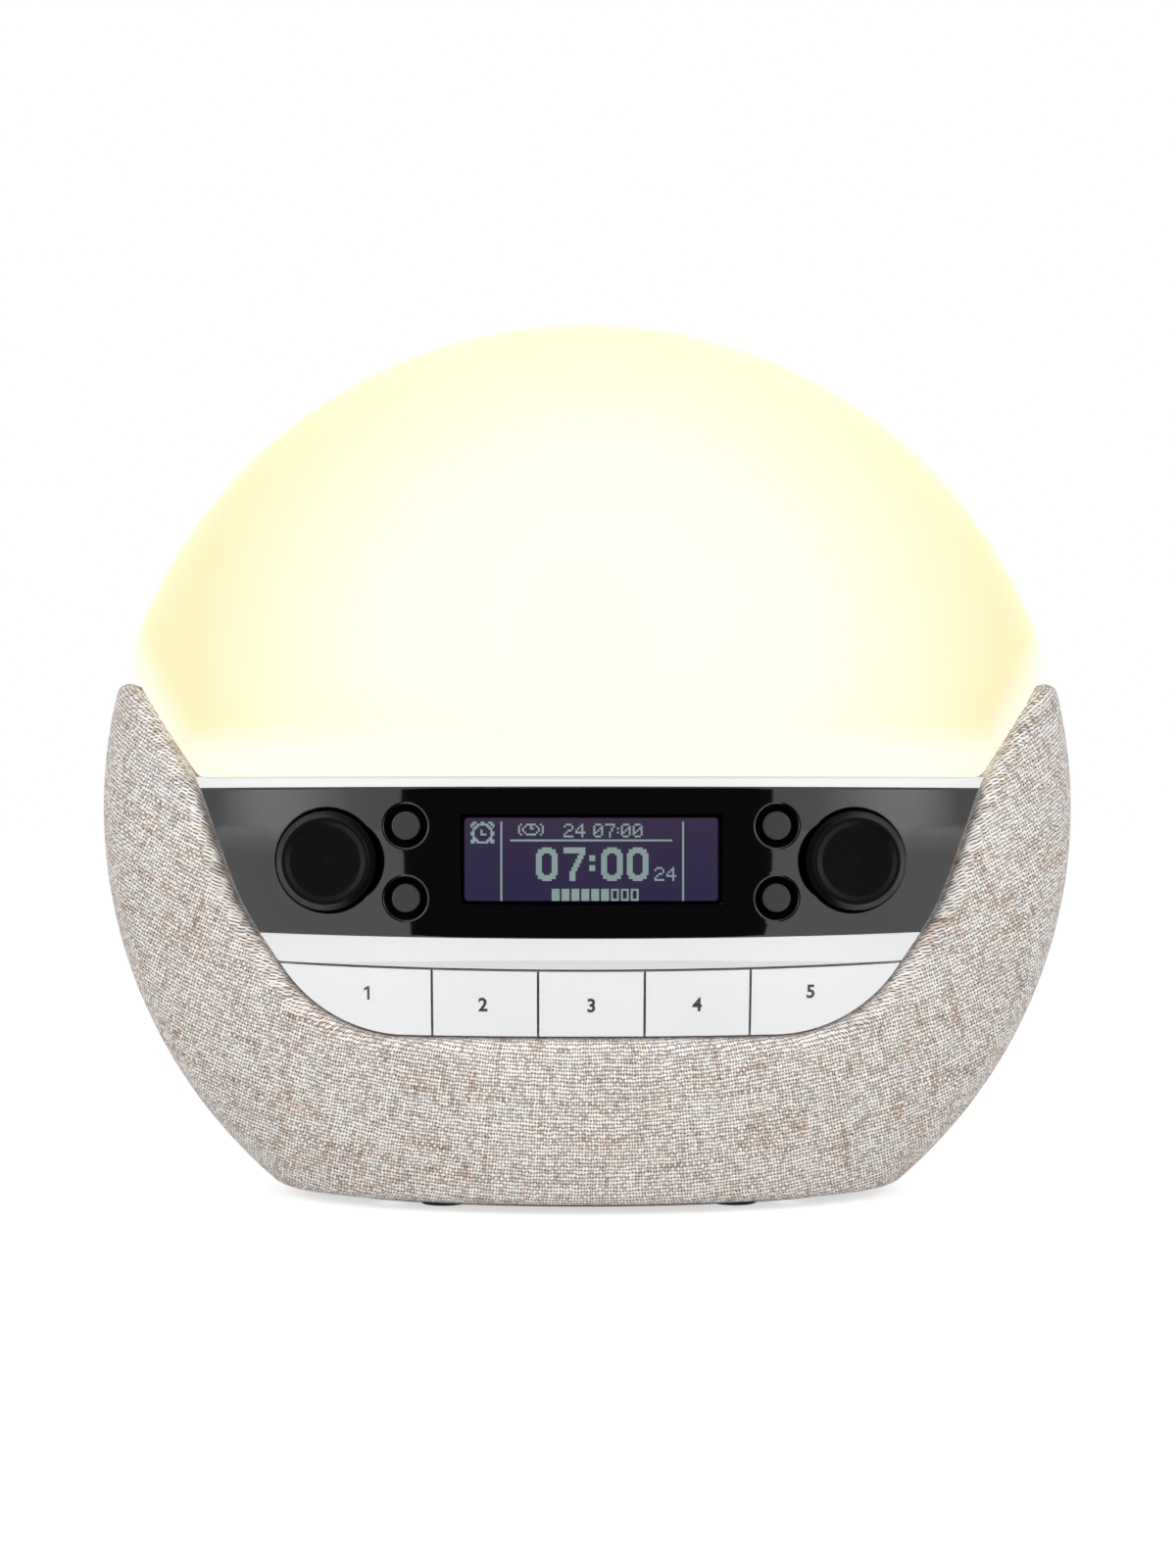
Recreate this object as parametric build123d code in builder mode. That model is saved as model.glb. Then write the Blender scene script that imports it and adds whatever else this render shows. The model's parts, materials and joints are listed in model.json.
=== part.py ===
from build123d import *
from math import cos, radians, sin, sqrt
import os

os.makedirs("parts", exist_ok=True)

# All sizes are in millimetres. +Z is up, the front faces -Y, and Z = 0 is the table.

# ---- Outer form: one ellipsoid, cut flat at the base --------------------------------------
half_width = 110.0
half_depth = 62.5
half_height = 110.4
form_centre = 87.3
case_bottom = 2.2
case_bottom_round = 5.0

# ---- Fabric and the moulded cradle under it -----------------------------------------------
fabric_thickness = 0.9
cradle_wall = 3.15
opening_edge_round = 2.7
base_screw_post_height = 8.1
lug_size = (9.0, 8.0)
right_lugs = ((49.0, 40.0, 31.5), (71.0, 84.0, 35.5))

# ---- Front view of the openings in the cradle ---------------------------------------------
front_sill = 39.5
front_sill_half = 55.6
front_corner_round = 32.0
rear_sill = 20.0
rear_sill_half = 42.0
rear_corner_round = 26.0
waist = (74.2, 66.3)
waist_round = 60.0
shoulder = (84.3, 93.2)
shoulder_round = 40.0
horn_inner = (96.4, 111.6)
horn_inner_round = 14.0
horn_overrun = 6.0
horn_outer = (half_width + horn_overrun, 122.2)
cradle_block_top = 150.0
headroom = 20.0
above_everything = form_centre + half_height + headroom

# ---- Gaps ------------------------------------------------------------------------------------
edge_gap = 0.5
seat_gap = 0.2
slide_gap = 0.35
bore_clearance = 0.05

# ---- Front frame and fascia --------------------------------------------------------------------
trim_inset = 1.2
fascia_inset = 1.0
fascia_thickness = 2.4
fascia_edge_round = 0.5
frame_depth = 7.4
flange_width = 4.0
dome_sill = 94.0
fascia_top = 91.9
fascia_top_rise = -0.4
fascia_bottom = 60.5
fascia_bottom_rise = 1.45
key_top = 54.05
key_top_rise = 3.1
facet_overhang = (13.4, 5.2)
facet_half_height = 62.9
ledge_width = 3.6
ledge_thickness = 3.0

# ---- Dome and light tray -----------------------------------------------------------------------
dome_inset = 0.5
dome_wall = 2.4
dome_corner = (83.4, 94.0)
dome_corner_round = 3.0
dome_horn = (97.6, 112.9)
dome_horn_round = 6.0
dome_tip_inset = 2.0
dome_tip = (half_width - dome_tip_inset, 127.6)
dome_rim_height = 2.0
tray_thickness = 2.2
led_board_size = (150.0, 64.0, 1.6)
led_size = (5.0, 5.0, 1.6)
led_rows = 3
led_columns = 8
led_pitch = (18.0, 15.0)
led_board_tab = (144.0, 49.0)
led_screw_spacing = (138.0, 40.0)
cable_radius = 1.4

# ---- Keys, buttons and dials -------------------------------------------------------------------
key_pitch = 22.1
key_gap = 0.5
key_cap_thickness = 2.4
key_travel = 0.8
key_floor_gap = 1.0
key_stem_size = (6.0, 4.0)
outer_key_stem_inset = 9.85
key_stem_z = 47.0
button_radius = 2.95
button_gap = 1.5
button_display_spacing = 12.2
button_rises = (7.3, -7.7)
button_travel = 0.5
button_recess = 0.5
button_stem_radius = 2.0
button_edge_round = 0.3
button_depth = 2.6
dial_button_spacing = 16.6
dial_z = 76.5
dial_radius = 10.35
dial_taper = 1.7
dial_face_depth = 4.5
dial_height = 9.8
dial_gap = 0.4
dial_scoop_inset = 2.35
dial_scoop_offset = 3.5
dial_push = 0.5
dial_rim_depth = 2.6
dial_lip = 0.7
dial_rim_rounds = [0.4, 0.9, 0.25, 0.25, 1.0]
knob_wall = 1.6
knob_top = 3.4
hub_radius = 5.2
shaft_engagement = 4.0
well_wall = 1.2
well_floor_behind_skirt = 1.4
scoop_step = 3.6

# ---- Control board behind the fascia ------------------------------------------------------------
board_thickness = 1.6
control_board_depth = 22.5
control_board_top = 90.0
control_board_bottom = 42.5
control_board_margin = 7.0
switch_size = (6.0, 5.4, 3.5)
plunger_radius = 1.6
encoder_size = (12.0, 12.0, 5.0)
encoder_collar_radius = 3.6
shaft_radius = 3.0
shaft_depth = 3.0
encoder_bore_floor = 1.0
encoder_chamfer = 1.0
switch_bore_depth = 2.5
plunger_overlap = 1.3
inner_control_screw_x = 16.0
control_screw_z = 58.0
plunger_length = 3.8
control_screw_reach = 5.0

# ---- Display ---------------------------------------------------------------------------------------
display_size = (52.4, 17.1)
display_z = 76.9
display_glass_thickness = 1.6
display_depth = 7.3
lens_thickness = 1.5
lens_opening = (display_size[0] + 1.6, display_size[1] + 1.6)
glass_size = (display_size[0] + 4.8, display_size[1] + 3.2)
holder_wall = 1.4
holder_ledge = 1.0

# ---- Rear cover, speakers and sockets ----------------------------------------------------------
cover_flange_thickness = 2.0
cover_boss_radius = 4.4
speaker_radius = 20.0
speaker_spread = 11.0
speaker_rise = 41.0
speaker_depth = 17.5
magnet_radius = 11.0
magnet_depth = 6.0
basket_depth = 9.0
basket_wall = 0.8
basket_window_margin = (2.0, 3.0)
basket_spoke_width = 6.0
flange_thickness = 1.2
cone_inset = 2.5
port_recess_size = (40.0, 15.0)
port_floor_depth = 16.5
port_wall = 1.8
usb_x = 9.5
dc_x = -10.0
grille_slot_width = 1.6
grille_pitch = 4.4
grille_margin = 4.0
gasket_width = 1.8
gasket_thickness = 1.0
cover_screw_floor = 3.0
usb_size = (13.2, 5.8, 14.0)
usb_wall = 0.5
usb_tongue = (10.8, 1.6)
usb_tongue_rise = 0.9
dc_size = (9.0, 10.6, 14.0)
dc_bore_radius = 3.2
dc_pin_radius = 1.0
dc_bore_depth = 9.5

# ---- Cables and connectors -------------------------------------------------------------------------
ribbon_width = 16.0
ribbon_thickness = 0.8
ribbon_setback = 14.0
ribbon_reach = 12.4
ribbon_drop = 14.0
ribbon_bend = 7.0
ribbon_connector_size = (19.0, 4.0, 5.0)
led_connector_size = (8.0, 6.0, 5.0)
led_connector_shift = (27.0, -2.0)

# ---- Main board, base and feet --------------------------------------------------------------------
main_board_size = (84.0, 40.0)
main_board_setback = 36.0
board_corner_round = 3.0
port_tongue_width = 36.0
board_post_spacing = (60.0, 20.0)
board_post_setback = 4.0
main_board_top = 27.0
chips = (((1.0, 4.0), (10.0, 10.0)), ((16.0, 4.0), (7.0, 5.0)), ((35.0, 15.0), (6.0, 5.0)))
chip_height = 1.6
capacitor_shifts = [(-36.0, 14.0), (-36.0, -6.0)]
capacitor_size = (3.9, 9.0)
cell_shift = (-18.0, -4.0)
cell_size = (6.25, 2.0)
cell_holder_wall = 1.3
cell_holder_floor = 1.0
base_plate_margin = (6.25, 4.37)
base_ring_width = 4.0
base_plate_thickness = 1.9
base_plate_bottom = 1.2
base_rib_height = 5.0
base_rib_wall = 2.2
base_screw_inset = 3.4
base_screw_turn = 41.3
base_screw_length = 6.9
post_bore_depth = 8.4
foot_radius = 5.0
foot_inset = (30.0, 14.0)
foot_recess = 0.8
screw_radius = 1.5
screw_length = 6.0
screw_head_radius = 2.8
screw_head_height = 1.0
post_radius = 3.6

case_inset = fabric_thickness + cradle_wall
front_view = Plane.XZ

# ---- Depths and places that follow from the sizes above ------------------------------------------
facet_semi_axes = (half_width + facet_overhang[0], half_depth + facet_overhang[1], facet_half_height)
control_board_y = control_board_depth - half_depth
dial_face_y = dial_face_depth - half_depth
dial_skirt_y = dial_face_y + dial_height
display_y = display_depth - half_depth
speaker_face_y = half_depth - speaker_depth
port_floor_y = half_depth - port_floor_depth
main_board_y = port_floor_y - main_board_setback
button_hole_radius = button_radius + button_gap
button_x = display_size[0] / 2 + button_display_spacing
button_z = [dial_z + rise for rise in button_rises]
dial_x = button_x + dial_button_spacing
dial_face_radius = dial_radius - dial_taper
dial_hole_radius = dial_radius + dial_gap
dial_scoop_radius = dial_hole_radius - dial_scoop_inset
outer_key_stem_x = 1.5 * key_pitch + outer_key_stem_inset
control_board_half_top = dial_x + control_board_margin
control_board_half_bottom = outer_key_stem_x + control_board_margin
led_cable_place = (led_connector_shift[0], main_board_y + led_connector_shift[1])
base_drop = form_centre - case_bottom - case_bottom_round
base_share = sqrt(1 - (base_drop / (half_height - case_bottom_round)) ** 2)
base_plate_semi = [
    base_share * (half - case_bottom_round) - margin
    for half, margin in zip((half_width, half_depth), base_plate_margin)
]


def depth_at(x, z, inset):
    """Distance of the form's surface from the XZ plane at a place in the front view."""
    across = (x / (half_width - inset)) ** 2
    up = ((z - form_centre) / (half_height - inset)) ** 2
    return (half_depth - inset) * sqrt(1 - across - up)


def ellipsoid_half(semi_axes, low, high):
    """The +X half of an ellipsoid about the form's centre, between two heights."""
    width, depth, height = semi_axes
    with BuildPart() as half:
        with BuildSketch(Plane.YZ):
            with Locations((0, form_centre)):
                Ellipse(width, height)
            with Locations((0, low)):
                Rectangle(width, high - low, align=(Align.MIN, Align.MIN), mode=Mode.INTERSECT)
        revolve(axis=Axis.Z, revolution_arc=-180)
        scale(by=(1, depth / width, 1))
    return half.part


def form_half(inset, low, high):
    """The +X half of the clock's outer form, moved inwards by inset."""
    return ellipsoid_half((half_width - inset, half_depth - inset, half_height - inset), low, high)


def whole(half):
    """A part from its +X half."""
    with BuildPart() as both:
        add(half)
        mirror(about=Plane.YZ)
    return both.part.fix()


def form(inset, low=case_bottom, high=above_everything):
    """The clock's outer form, moved inwards by inset."""
    return whole(form_half(inset, low, high))


def bowl(sill, sill_half, corner_round, grow=0.0):
    """Front view of an opening in the cradle, open at the top, with its edge moved outwards."""
    with BuildSketch() as view:
        with BuildLine():
            FilletPolyline(
                (0, sill), (sill_half, sill), waist, shoulder, horn_inner, horn_outer,
                radius=[corner_round, waist_round, shoulder_round, horn_inner_round],
            )
            Polyline(horn_outer, (horn_outer[0], above_everything), (0, above_everything), (0, sill))
        make_face()
        mirror(about=Plane.YZ)
        if grow:
            offset(amount=grow)
    return view.sketch


def front_opening(grow=0.0):
    return bowl(front_sill, front_sill_half, front_corner_round, grow)


def rear_opening(grow=0.0):
    return bowl(rear_sill, rear_sill_half, rear_corner_round, grow)


def dome_outline(grow=0.0):
    """Front view of the dome above its lower edge, with that edge moved outwards by grow."""
    with BuildSketch() as view:
        with BuildLine():
            FilletPolyline(
                (0, dome_sill), dome_corner, dome_horn, dome_tip,
                radius=[dome_corner_round, dome_horn_round],
            )
            Polyline(dome_tip, (dome_tip[0], above_everything), (0, above_everything), (0, dome_sill))
        make_face()
        mirror(about=Plane.YZ)
        if grow:
            offset(amount=grow)
    return view.sketch


def level_edge(level, rise, side):
    """A front-view edge, level or rising towards both sides of the form."""
    if rise == 0:
        return Line((-side * half_width, level), (side * half_width, level))
    return ThreePointArc((-side * half_width, level + rise), (0, level), (side * half_width, level + rise))


def strip_outline(low, low_rise, high, high_rise):
    """Front view of a strip across the form, between two edges."""
    with BuildSketch() as view:
        with BuildLine():
            level_edge(low, low_rise, 1)
            Line((half_width, low + low_rise), (half_width, high + high_rise))
            level_edge(high, high_rise, -1)
            Line((-half_width, high + high_rise), (-half_width, low + low_rise))
        make_face()
    return view.sketch


def prism(view, towards_rear=False):
    """A front view drawn out from the XZ plane, past the form's surface."""
    with BuildPart() as drawn:
        with BuildSketch(front_view):
            add(view)
        extrude(amount=-2 * half_depth if towards_rear else 2 * half_depth)
    return drawn.part


def through(view):
    """A front view drawn out both ways from the XZ plane, past the form's surface."""
    with BuildPart() as drawn:
        with BuildSketch(front_view):
            add(view)
        extrude(amount=2 * half_depth, both=True)
    return drawn.part


def save(part, name):
    part.label = name
    export_step(part, f"parts/{name}.step")


# ---- Cradle and its fabric --------------------------------------------------------------------
def cradle_block(inset):
    """Solid block inside the fabric, with both openings cut and every edge rounded."""
    uncut = form_half(inset, case_bottom + inset, cradle_block_top)
    with BuildPart() as block:
        add(uncut)
        with BuildSketch(front_view):
            add(front_opening(inset))
        extrude(amount=2 * half_depth, mode=Mode.SUBTRACT)
        with BuildSketch(front_view):
            add(rear_opening(inset))
        extrude(amount=-2 * half_depth, mode=Mode.SUBTRACT)
        skin = block.faces().filter_by(GeomType.BSPLINE).sort_by(SortBy.AREA)[-1]
        rim = skin.edges().filter_by(
            lambda edge: edge.center().X > 1 and edge.center().Z > case_bottom + inset + 1
        )
        fillet(rim, opening_edge_round - inset)
        base_edge = block.edges().filter_by(
            lambda edge: abs(edge.center().Z - case_bottom - inset) < 0.01 and edge.center().X > 1
        )
        fillet(base_edge.filter_by(GeomType.LINE, reverse=True), case_bottom_round - inset)
    return block.part


fabric_block = cradle_block(0.0)
shell_block = cradle_block(fabric_thickness)
case_hollow_half = form_half(case_inset, case_bottom + case_inset, above_everything)

with BuildPart() as fabric_cover:
    add(fabric_block)
    add(shell_block, mode=Mode.SUBTRACT)
    add(case_hollow_half, mode=Mode.SUBTRACT)
    mirror(about=Plane.YZ)
    with BuildSketch(Plane.XY.offset(case_bottom)):
        Ellipse(base_plate_semi[0] + seat_gap, base_plate_semi[1] + seat_gap)
    extrude(amount=fabric_thickness, mode=Mode.SUBTRACT)
save(fabric_cover.part, "fabric_cover")

shell_bottom = case_bottom + fabric_thickness
base_opening_semi = (base_plate_semi[0] - base_ring_width, base_plate_semi[1] - base_ring_width)
base_screw_x = (base_plate_semi[0] - base_screw_inset) * cos(radians(base_screw_turn))
base_screw_y = (base_plate_semi[1] - base_screw_inset) * sin(radians(base_screw_turn))
base_screw_places = [(x * base_screw_x, y * base_screw_y) for x in (-1, 1) for y in (-1, 1)]
lug_places = [(side * x, z, half_depth - depth) for side in (-1, 1) for x, z, depth in right_lugs]
shell_hollow = form(case_inset - bore_clearance)

with BuildPart() as lugs:
    for x, z, rear_y in lug_places:
        side = 1 if x > 0 else -1
        with Locations((x + side * (half_width / 2 - post_radius), rear_y, z)):
            Box(half_width, *lug_size, align=(Align.CENTER, Align.MAX, Align.CENTER))
    add(shell_hollow, mode=Mode.INTERSECT)
    for x, z, rear_y in lug_places:
        with BuildSketch(Plane.XZ.offset(-rear_y)):
            with Locations((x, z)):
                Circle(screw_radius)
        extrude(amount=lug_size[0], mode=Mode.SUBTRACT)

with BuildPart() as cradle_shell:
    add(shell_block)
    add(case_hollow_half, mode=Mode.SUBTRACT)
    mirror(about=Plane.YZ)
    with BuildSketch(Plane.XY.offset(shell_bottom)):
        Ellipse(*base_opening_semi)
    extrude(amount=base_screw_post_height, mode=Mode.SUBTRACT)
    with BuildSketch(Plane.XY.offset(shell_bottom)):
        with Locations(*base_screw_places):
            Circle(post_radius)
    extrude(amount=base_screw_post_height)
    with BuildSketch(Plane.XY.offset(shell_bottom)):
        with Locations(*base_screw_places):
            Circle(screw_radius)
    extrude(amount=base_screw_post_height, mode=Mode.SUBTRACT)
    add(lugs.part)
save(cradle_shell.part, "cradle_shell")

# ---- Base plate, feet and base screws ---------------------------------------------------------
foot_places = [
    (x * (base_plate_semi[0] - foot_inset[0]), y * (base_plate_semi[1] - foot_inset[1]))
    for x in (-1, 1) for y in (-1, 1)
]
board_post_places = [
    (x * board_post_spacing[0] / 2, main_board_y - board_post_setback + y * board_post_spacing[1] / 2)
    for x in (-1, 1) for y in (-1, 1)
]
plate_top = base_plate_bottom + base_plate_thickness
board_bottom = main_board_top - board_thickness

with BuildPart() as base_plate:
    with BuildSketch(Plane.XY.offset(base_plate_bottom)):
        Ellipse(*base_plate_semi)
    extrude(amount=base_plate_thickness)
    with BuildSketch(Plane.XY.offset(plate_top)):
        Ellipse(base_opening_semi[0] - seat_gap, base_opening_semi[1] - seat_gap)
        Ellipse(
            base_opening_semi[0] - base_rib_wall, base_opening_semi[1] - base_rib_wall, mode=Mode.SUBTRACT
        )
        with Locations(*base_screw_places):
            Circle(post_radius + 2 * seat_gap, mode=Mode.SUBTRACT)
    extrude(amount=base_rib_height)
    with BuildSketch(Plane.XY.offset(plate_top)):
        with Locations(*board_post_places):
            Circle(post_radius)
    extrude(amount=board_bottom - plate_top)
    with BuildSketch(Plane.XY.offset(board_bottom)):
        with Locations(*board_post_places):
            Circle(screw_radius)
    extrude(amount=-post_bore_depth, mode=Mode.SUBTRACT)
    with BuildSketch(Plane.XY.offset(base_plate_bottom)):
        with Locations(*foot_places):
            Circle(foot_radius)
    extrude(amount=foot_recess, mode=Mode.SUBTRACT)
    with BuildSketch(Plane.XY.offset(base_plate_bottom)):
        with Locations(*base_screw_places):
            Circle(screw_head_radius + seat_gap)
    extrude(amount=screw_head_height, mode=Mode.SUBTRACT)
    with BuildSketch(Plane.XY.offset(base_plate_bottom)):
        with Locations(*base_screw_places):
            Circle(screw_radius + bore_clearance)
    extrude(amount=base_plate_thickness, mode=Mode.SUBTRACT)
save(base_plate.part, "base_plate")

with BuildPart() as rubber_feet:
    with BuildSketch():
        with Locations(*foot_places):
            Circle(foot_radius)
    extrude(amount=base_plate_bottom + foot_recess)
save(rubber_feet.part, "rubber_feet")


def screws(places, head_plane, length):
    """Pan-head screws: heads rest on a plane with their shanks going below it."""
    with BuildPart() as group:
        with BuildSketch(head_plane):
            with Locations(*places):
                Circle(screw_head_radius)
        extrude(amount=screw_head_height)
        with BuildSketch(head_plane):
            with Locations(*places):
                Circle(screw_radius)
        extrude(amount=-length)
    return group.part


base_screw_seat = Plane(
    (0, 0, base_plate_bottom + screw_head_height), x_dir=(1, 0, 0), z_dir=(0, 0, -1)
)
base_screws = screws([(x, -y) for x, y in base_screw_places], base_screw_seat, base_screw_length)
save(base_screws, "base_screws")

# ---- Front frame, fascia and display window ---------------------------------------------------
trim_form = form(trim_inset, case_bottom, dome_sill)
fascia_form = form(fascia_inset)
fascia_back_form = form(fascia_inset + fascia_thickness)
frame_back_form = form(frame_depth)
facet_form = whole(ellipsoid_half(facet_semi_axes, case_bottom, above_everything))

fascia_strip = prism(strip_outline(fascia_bottom, fascia_bottom_rise, fascia_top, fascia_top_rise))
key_strip = prism(strip_outline(case_bottom, 0.0, key_top, key_top_rise))
front_prism = prism(front_opening(-edge_gap))
front_flange = prism(front_opening(flange_width)) & form(case_inset, case_bottom, dome_sill - seat_gap)
fascia_pocket = fascia_strip - fascia_back_form
key_floor_form = form(trim_inset + key_cap_thickness + key_travel + key_floor_gap)
key_pocket = key_strip - key_floor_form
frame_hollow = form(frame_depth - bore_clearance)

button_places = {
    f"{side}_{level}_button": (x, z)
    for side, x in (("left", -button_x), ("right", button_x))
    for level, z in (("upper", button_z[0]), ("lower", button_z[1]))
}
dial_places = {"left": -dial_x, "right": dial_x}
key_centres = {
    "key_1": -outer_key_stem_x, "key_2": -key_pitch, "key_3": 0.0,
    "key_4": key_pitch, "key_5": outer_key_stem_x,
}
key_splits = [-1.5 * key_pitch, -0.5 * key_pitch, 0.5 * key_pitch, 1.5 * key_pitch]
control_screw_places = [
    (side * x, control_screw_z)
    for side in (-1, 1) for x in (control_board_half_bottom, inner_control_screw_x)
]
well_floor_y = dial_skirt_y + well_floor_behind_skirt
button_floor_y = {
    name: -depth_at(x, z, fascia_inset) + button_recess + button_depth
    for name, (x, z) in button_places.items()
}
display_places = [(0, display_z)]
holder_outer = (glass_size[0] + 2 * holder_wall, glass_size[1] + 2 * holder_wall)


def dial_well_view(grow):
    """Front view of the dial openings, each with a finger scoop towards the middle."""
    with BuildSketch() as view:
        for x in dial_places.values():
            with Locations((x, dial_z)):
                Circle(dial_hole_radius + grow)
            with Locations((x - dial_scoop_offset * (1 if x > 0 else -1), dial_z)):
                Circle(dial_scoop_radius + grow)
    return view.sketch


def button_view(radius):
    with BuildSketch() as view:
        with Locations(*button_places.values()):
            Circle(radius)
    return view.sketch


tray_bottom = dome_sill - seat_gap - tray_thickness


def tray_ledge(opening, outer_form):
    """Shelf inside a front frame or rear cover that carries the light tray."""
    inner_form = form(frame_depth + ledge_width)
    with BuildPart() as ledge:
        with BuildSketch(Plane.XY.offset(tray_bottom)):
            Rectangle(2 * half_width, 2 * half_depth)
        extrude(amount=-ledge_thickness)
        add(opening, mode=Mode.INTERSECT)
        add(outer_form, mode=Mode.INTERSECT)
        add(inner_form, mode=Mode.SUBTRACT)
    return ledge.part


with BuildPart() as control_bosses:
    with BuildSketch(Plane.XZ.offset(-control_board_y)):
        with Locations(*control_screw_places):
            Circle(post_radius)
    extrude(amount=half_depth)
    add(frame_hollow, mode=Mode.INTERSECT)

front_ledge = tray_ledge(prism(front_opening()), frame_hollow)

with BuildPart() as front_frame:
    add(front_prism)
    add(trim_form, mode=Mode.INTERSECT)
    add(facet_form, mode=Mode.INTERSECT)
    add(front_flange)
    add(frame_back_form, mode=Mode.SUBTRACT)
    add(fascia_pocket, mode=Mode.SUBTRACT)
    add(key_pocket, mode=Mode.SUBTRACT)
    with BuildSketch(front_view):
        add(dial_well_view(well_wall + 2 * seat_gap))
        add(button_view(button_hole_radius + well_wall + seat_gap))
        with Locations(*display_places):
            Rectangle(holder_outer[0] + 2 * seat_gap, holder_outer[1] + 2 * seat_gap)
        with Locations(*[(x, key_stem_z) for x in key_centres.values()]):
            Rectangle(key_stem_size[0] + 2 * slide_gap, key_stem_size[1] + 2 * slide_gap)
    extrude(amount=half_depth, mode=Mode.SUBTRACT)
    add(control_bosses.part)
    add(front_ledge)
    with BuildSketch(Plane.XZ.offset(-control_board_y)):
        with Locations(*control_screw_places):
            Circle(screw_radius)
    extrude(amount=screw_length, mode=Mode.SUBTRACT)
save(front_frame.part, "front_frame")

with BuildPart() as fascia_wells:
    with BuildSketch(Plane.XZ.offset(-well_floor_y - well_wall)):
        add(dial_well_view(well_wall))
    extrude(amount=half_depth)
    for name, (x, z) in button_places.items():
        with BuildSketch(Plane.XZ.offset(-button_floor_y[name] - well_wall)):
            with Locations((x, z)):
                Circle(button_hole_radius + well_wall)
        extrude(amount=half_depth)
    add(fascia_form, mode=Mode.INTERSECT)


def lens_view(grow):
    """Front view of the display window, moved outwards by grow."""
    with BuildSketch() as view:
        with Locations(*display_places):
            Rectangle(lens_opening[0] + 2 * grow, lens_opening[1] + 2 * grow)
    return view.sketch


def on_fascia_front(edge):
    """Whether an edge lies on the front surface of the fascia."""
    middle = edge.position_at(0.5)
    return abs(middle.Y + depth_at(middle.X, middle.Z, fascia_inset)) < bore_clearance


fascia_skin = fascia_form - fascia_back_form
window_skin = fascia_form - form(fascia_inset + lens_thickness)
window_seat = prism(lens_view(0.0)) & window_skin
window_prism = prism(lens_view(-seat_gap / 2))

with BuildPart() as fascia_panel:
    add(front_prism)
    add(fascia_skin, mode=Mode.INTERSECT)
    add(fascia_wells.part)
    add(fascia_strip, mode=Mode.INTERSECT)
    with BuildSketch(Plane.XZ.offset(-well_floor_y)):
        for x in dial_places.values():
            with Locations((x, dial_z)):
                Circle(dial_hole_radius)
    extrude(amount=half_depth, mode=Mode.SUBTRACT)
    with BuildSketch(Plane.XZ.offset(-well_floor_y + scoop_step)):
        add(dial_well_view(0.0))
    extrude(amount=half_depth, mode=Mode.SUBTRACT)
    for name, (x, z) in button_places.items():
        with BuildSketch(Plane.XZ.offset(-button_floor_y[name])):
            with Locations((x, z)):
                Circle(button_hole_radius)
        extrude(amount=half_depth, mode=Mode.SUBTRACT)
    fillet(fascia_panel.edges().filter_by(on_fascia_front), fascia_edge_round)
    with BuildSketch(front_view):
        with Locations(*[(x, dial_z) for x in dial_places.values()]):
            Circle(encoder_collar_radius + 3 * seat_gap)
        with Locations(*button_places.values()):
            Circle(button_stem_radius + slide_gap)
        with Locations(*display_places):
            Rectangle(*display_size)
    extrude(amount=half_depth, mode=Mode.SUBTRACT)
    add(window_seat, mode=Mode.SUBTRACT)
save(fascia_panel.part, "fascia_panel")

with BuildPart() as display_window:
    add(window_prism)
    add(window_skin, mode=Mode.INTERSECT)
save(display_window.part, "display_window")

# ---- Keys --------------------------------------------------------------------------------------
key_view = front_opening(-edge_gap) & strip_outline(case_bottom, 0, key_top - key_gap, key_top_rise)
key_edges = [-half_width] + key_splits + [half_width]
switch_face_y = control_board_y - switch_size[2]
switch_bore_y = switch_face_y + switch_bore_depth
plunger_back_y = switch_face_y + plunger_overlap
key_stem_end_y = plunger_back_y - plunger_length


def front_cylinder(x, z, radius, back_y, front_y):
    """Round bar along Y."""
    with BuildPart() as bar:
        with BuildSketch(Plane.XZ.offset(-back_y)):
            with Locations((x, z)):
                Circle(radius)
        extrude(amount=back_y - front_y)
    return bar.part


cap_shell = form(trim_inset) - form(trim_inset + key_cap_thickness)
for number, (name, x) in enumerate(key_centres.items()):
    low_x = key_edges[number] + key_gap / 2
    high_x = key_edges[number + 1] - key_gap / 2
    with BuildPart() as key:
        with BuildSketch(front_view):
            add(key_view)
            with Locations((low_x, 0)):
                Rectangle(
                    high_x - low_x, above_everything,
                    align=(Align.MIN, Align.MIN), mode=Mode.INTERSECT,
                )
        extrude(amount=2 * half_depth)
        add(cap_shell, mode=Mode.INTERSECT)
        with BuildSketch(Plane.XZ.offset(-key_stem_end_y)):
            with Locations((x, key_stem_z)):
                Rectangle(*key_stem_size)
        extrude(amount=depth_at(x, key_stem_z, trim_inset + key_cap_thickness / 2) + key_stem_end_y)
    save(key.part, name)
    plunger = front_cylinder(x, key_stem_z, plunger_radius, plunger_back_y, key_stem_end_y)
    save(plunger, f"{name}_plunger")

# ---- Small buttons -----------------------------------------------------------------------------
for name, (x, z) in button_places.items():
    face_y = -depth_at(x, z, fascia_inset) + button_recess
    cap_back_y = button_floor_y[name] - slide_gap - button_travel
    with BuildPart() as button:
        with BuildSketch(Plane.XZ.offset(-cap_back_y)):
            with Locations((x, z)):
                Circle(button_radius)
        extrude(amount=cap_back_y - face_y)
        fillet(button.edges().group_by(Axis.Y)[0], button_edge_round)
        with BuildSketch(Plane.XZ.offset(-key_stem_end_y)):
            with Locations((x, z)):
                Circle(button_stem_radius)
        extrude(amount=key_stem_end_y - cap_back_y)
        with BuildSketch(Plane.XZ.offset(-plunger_back_y)):
            with Locations((x, z)):
                Circle(plunger_radius)
        extrude(amount=plunger_back_y - key_stem_end_y)
    save(button.part, name)

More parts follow.
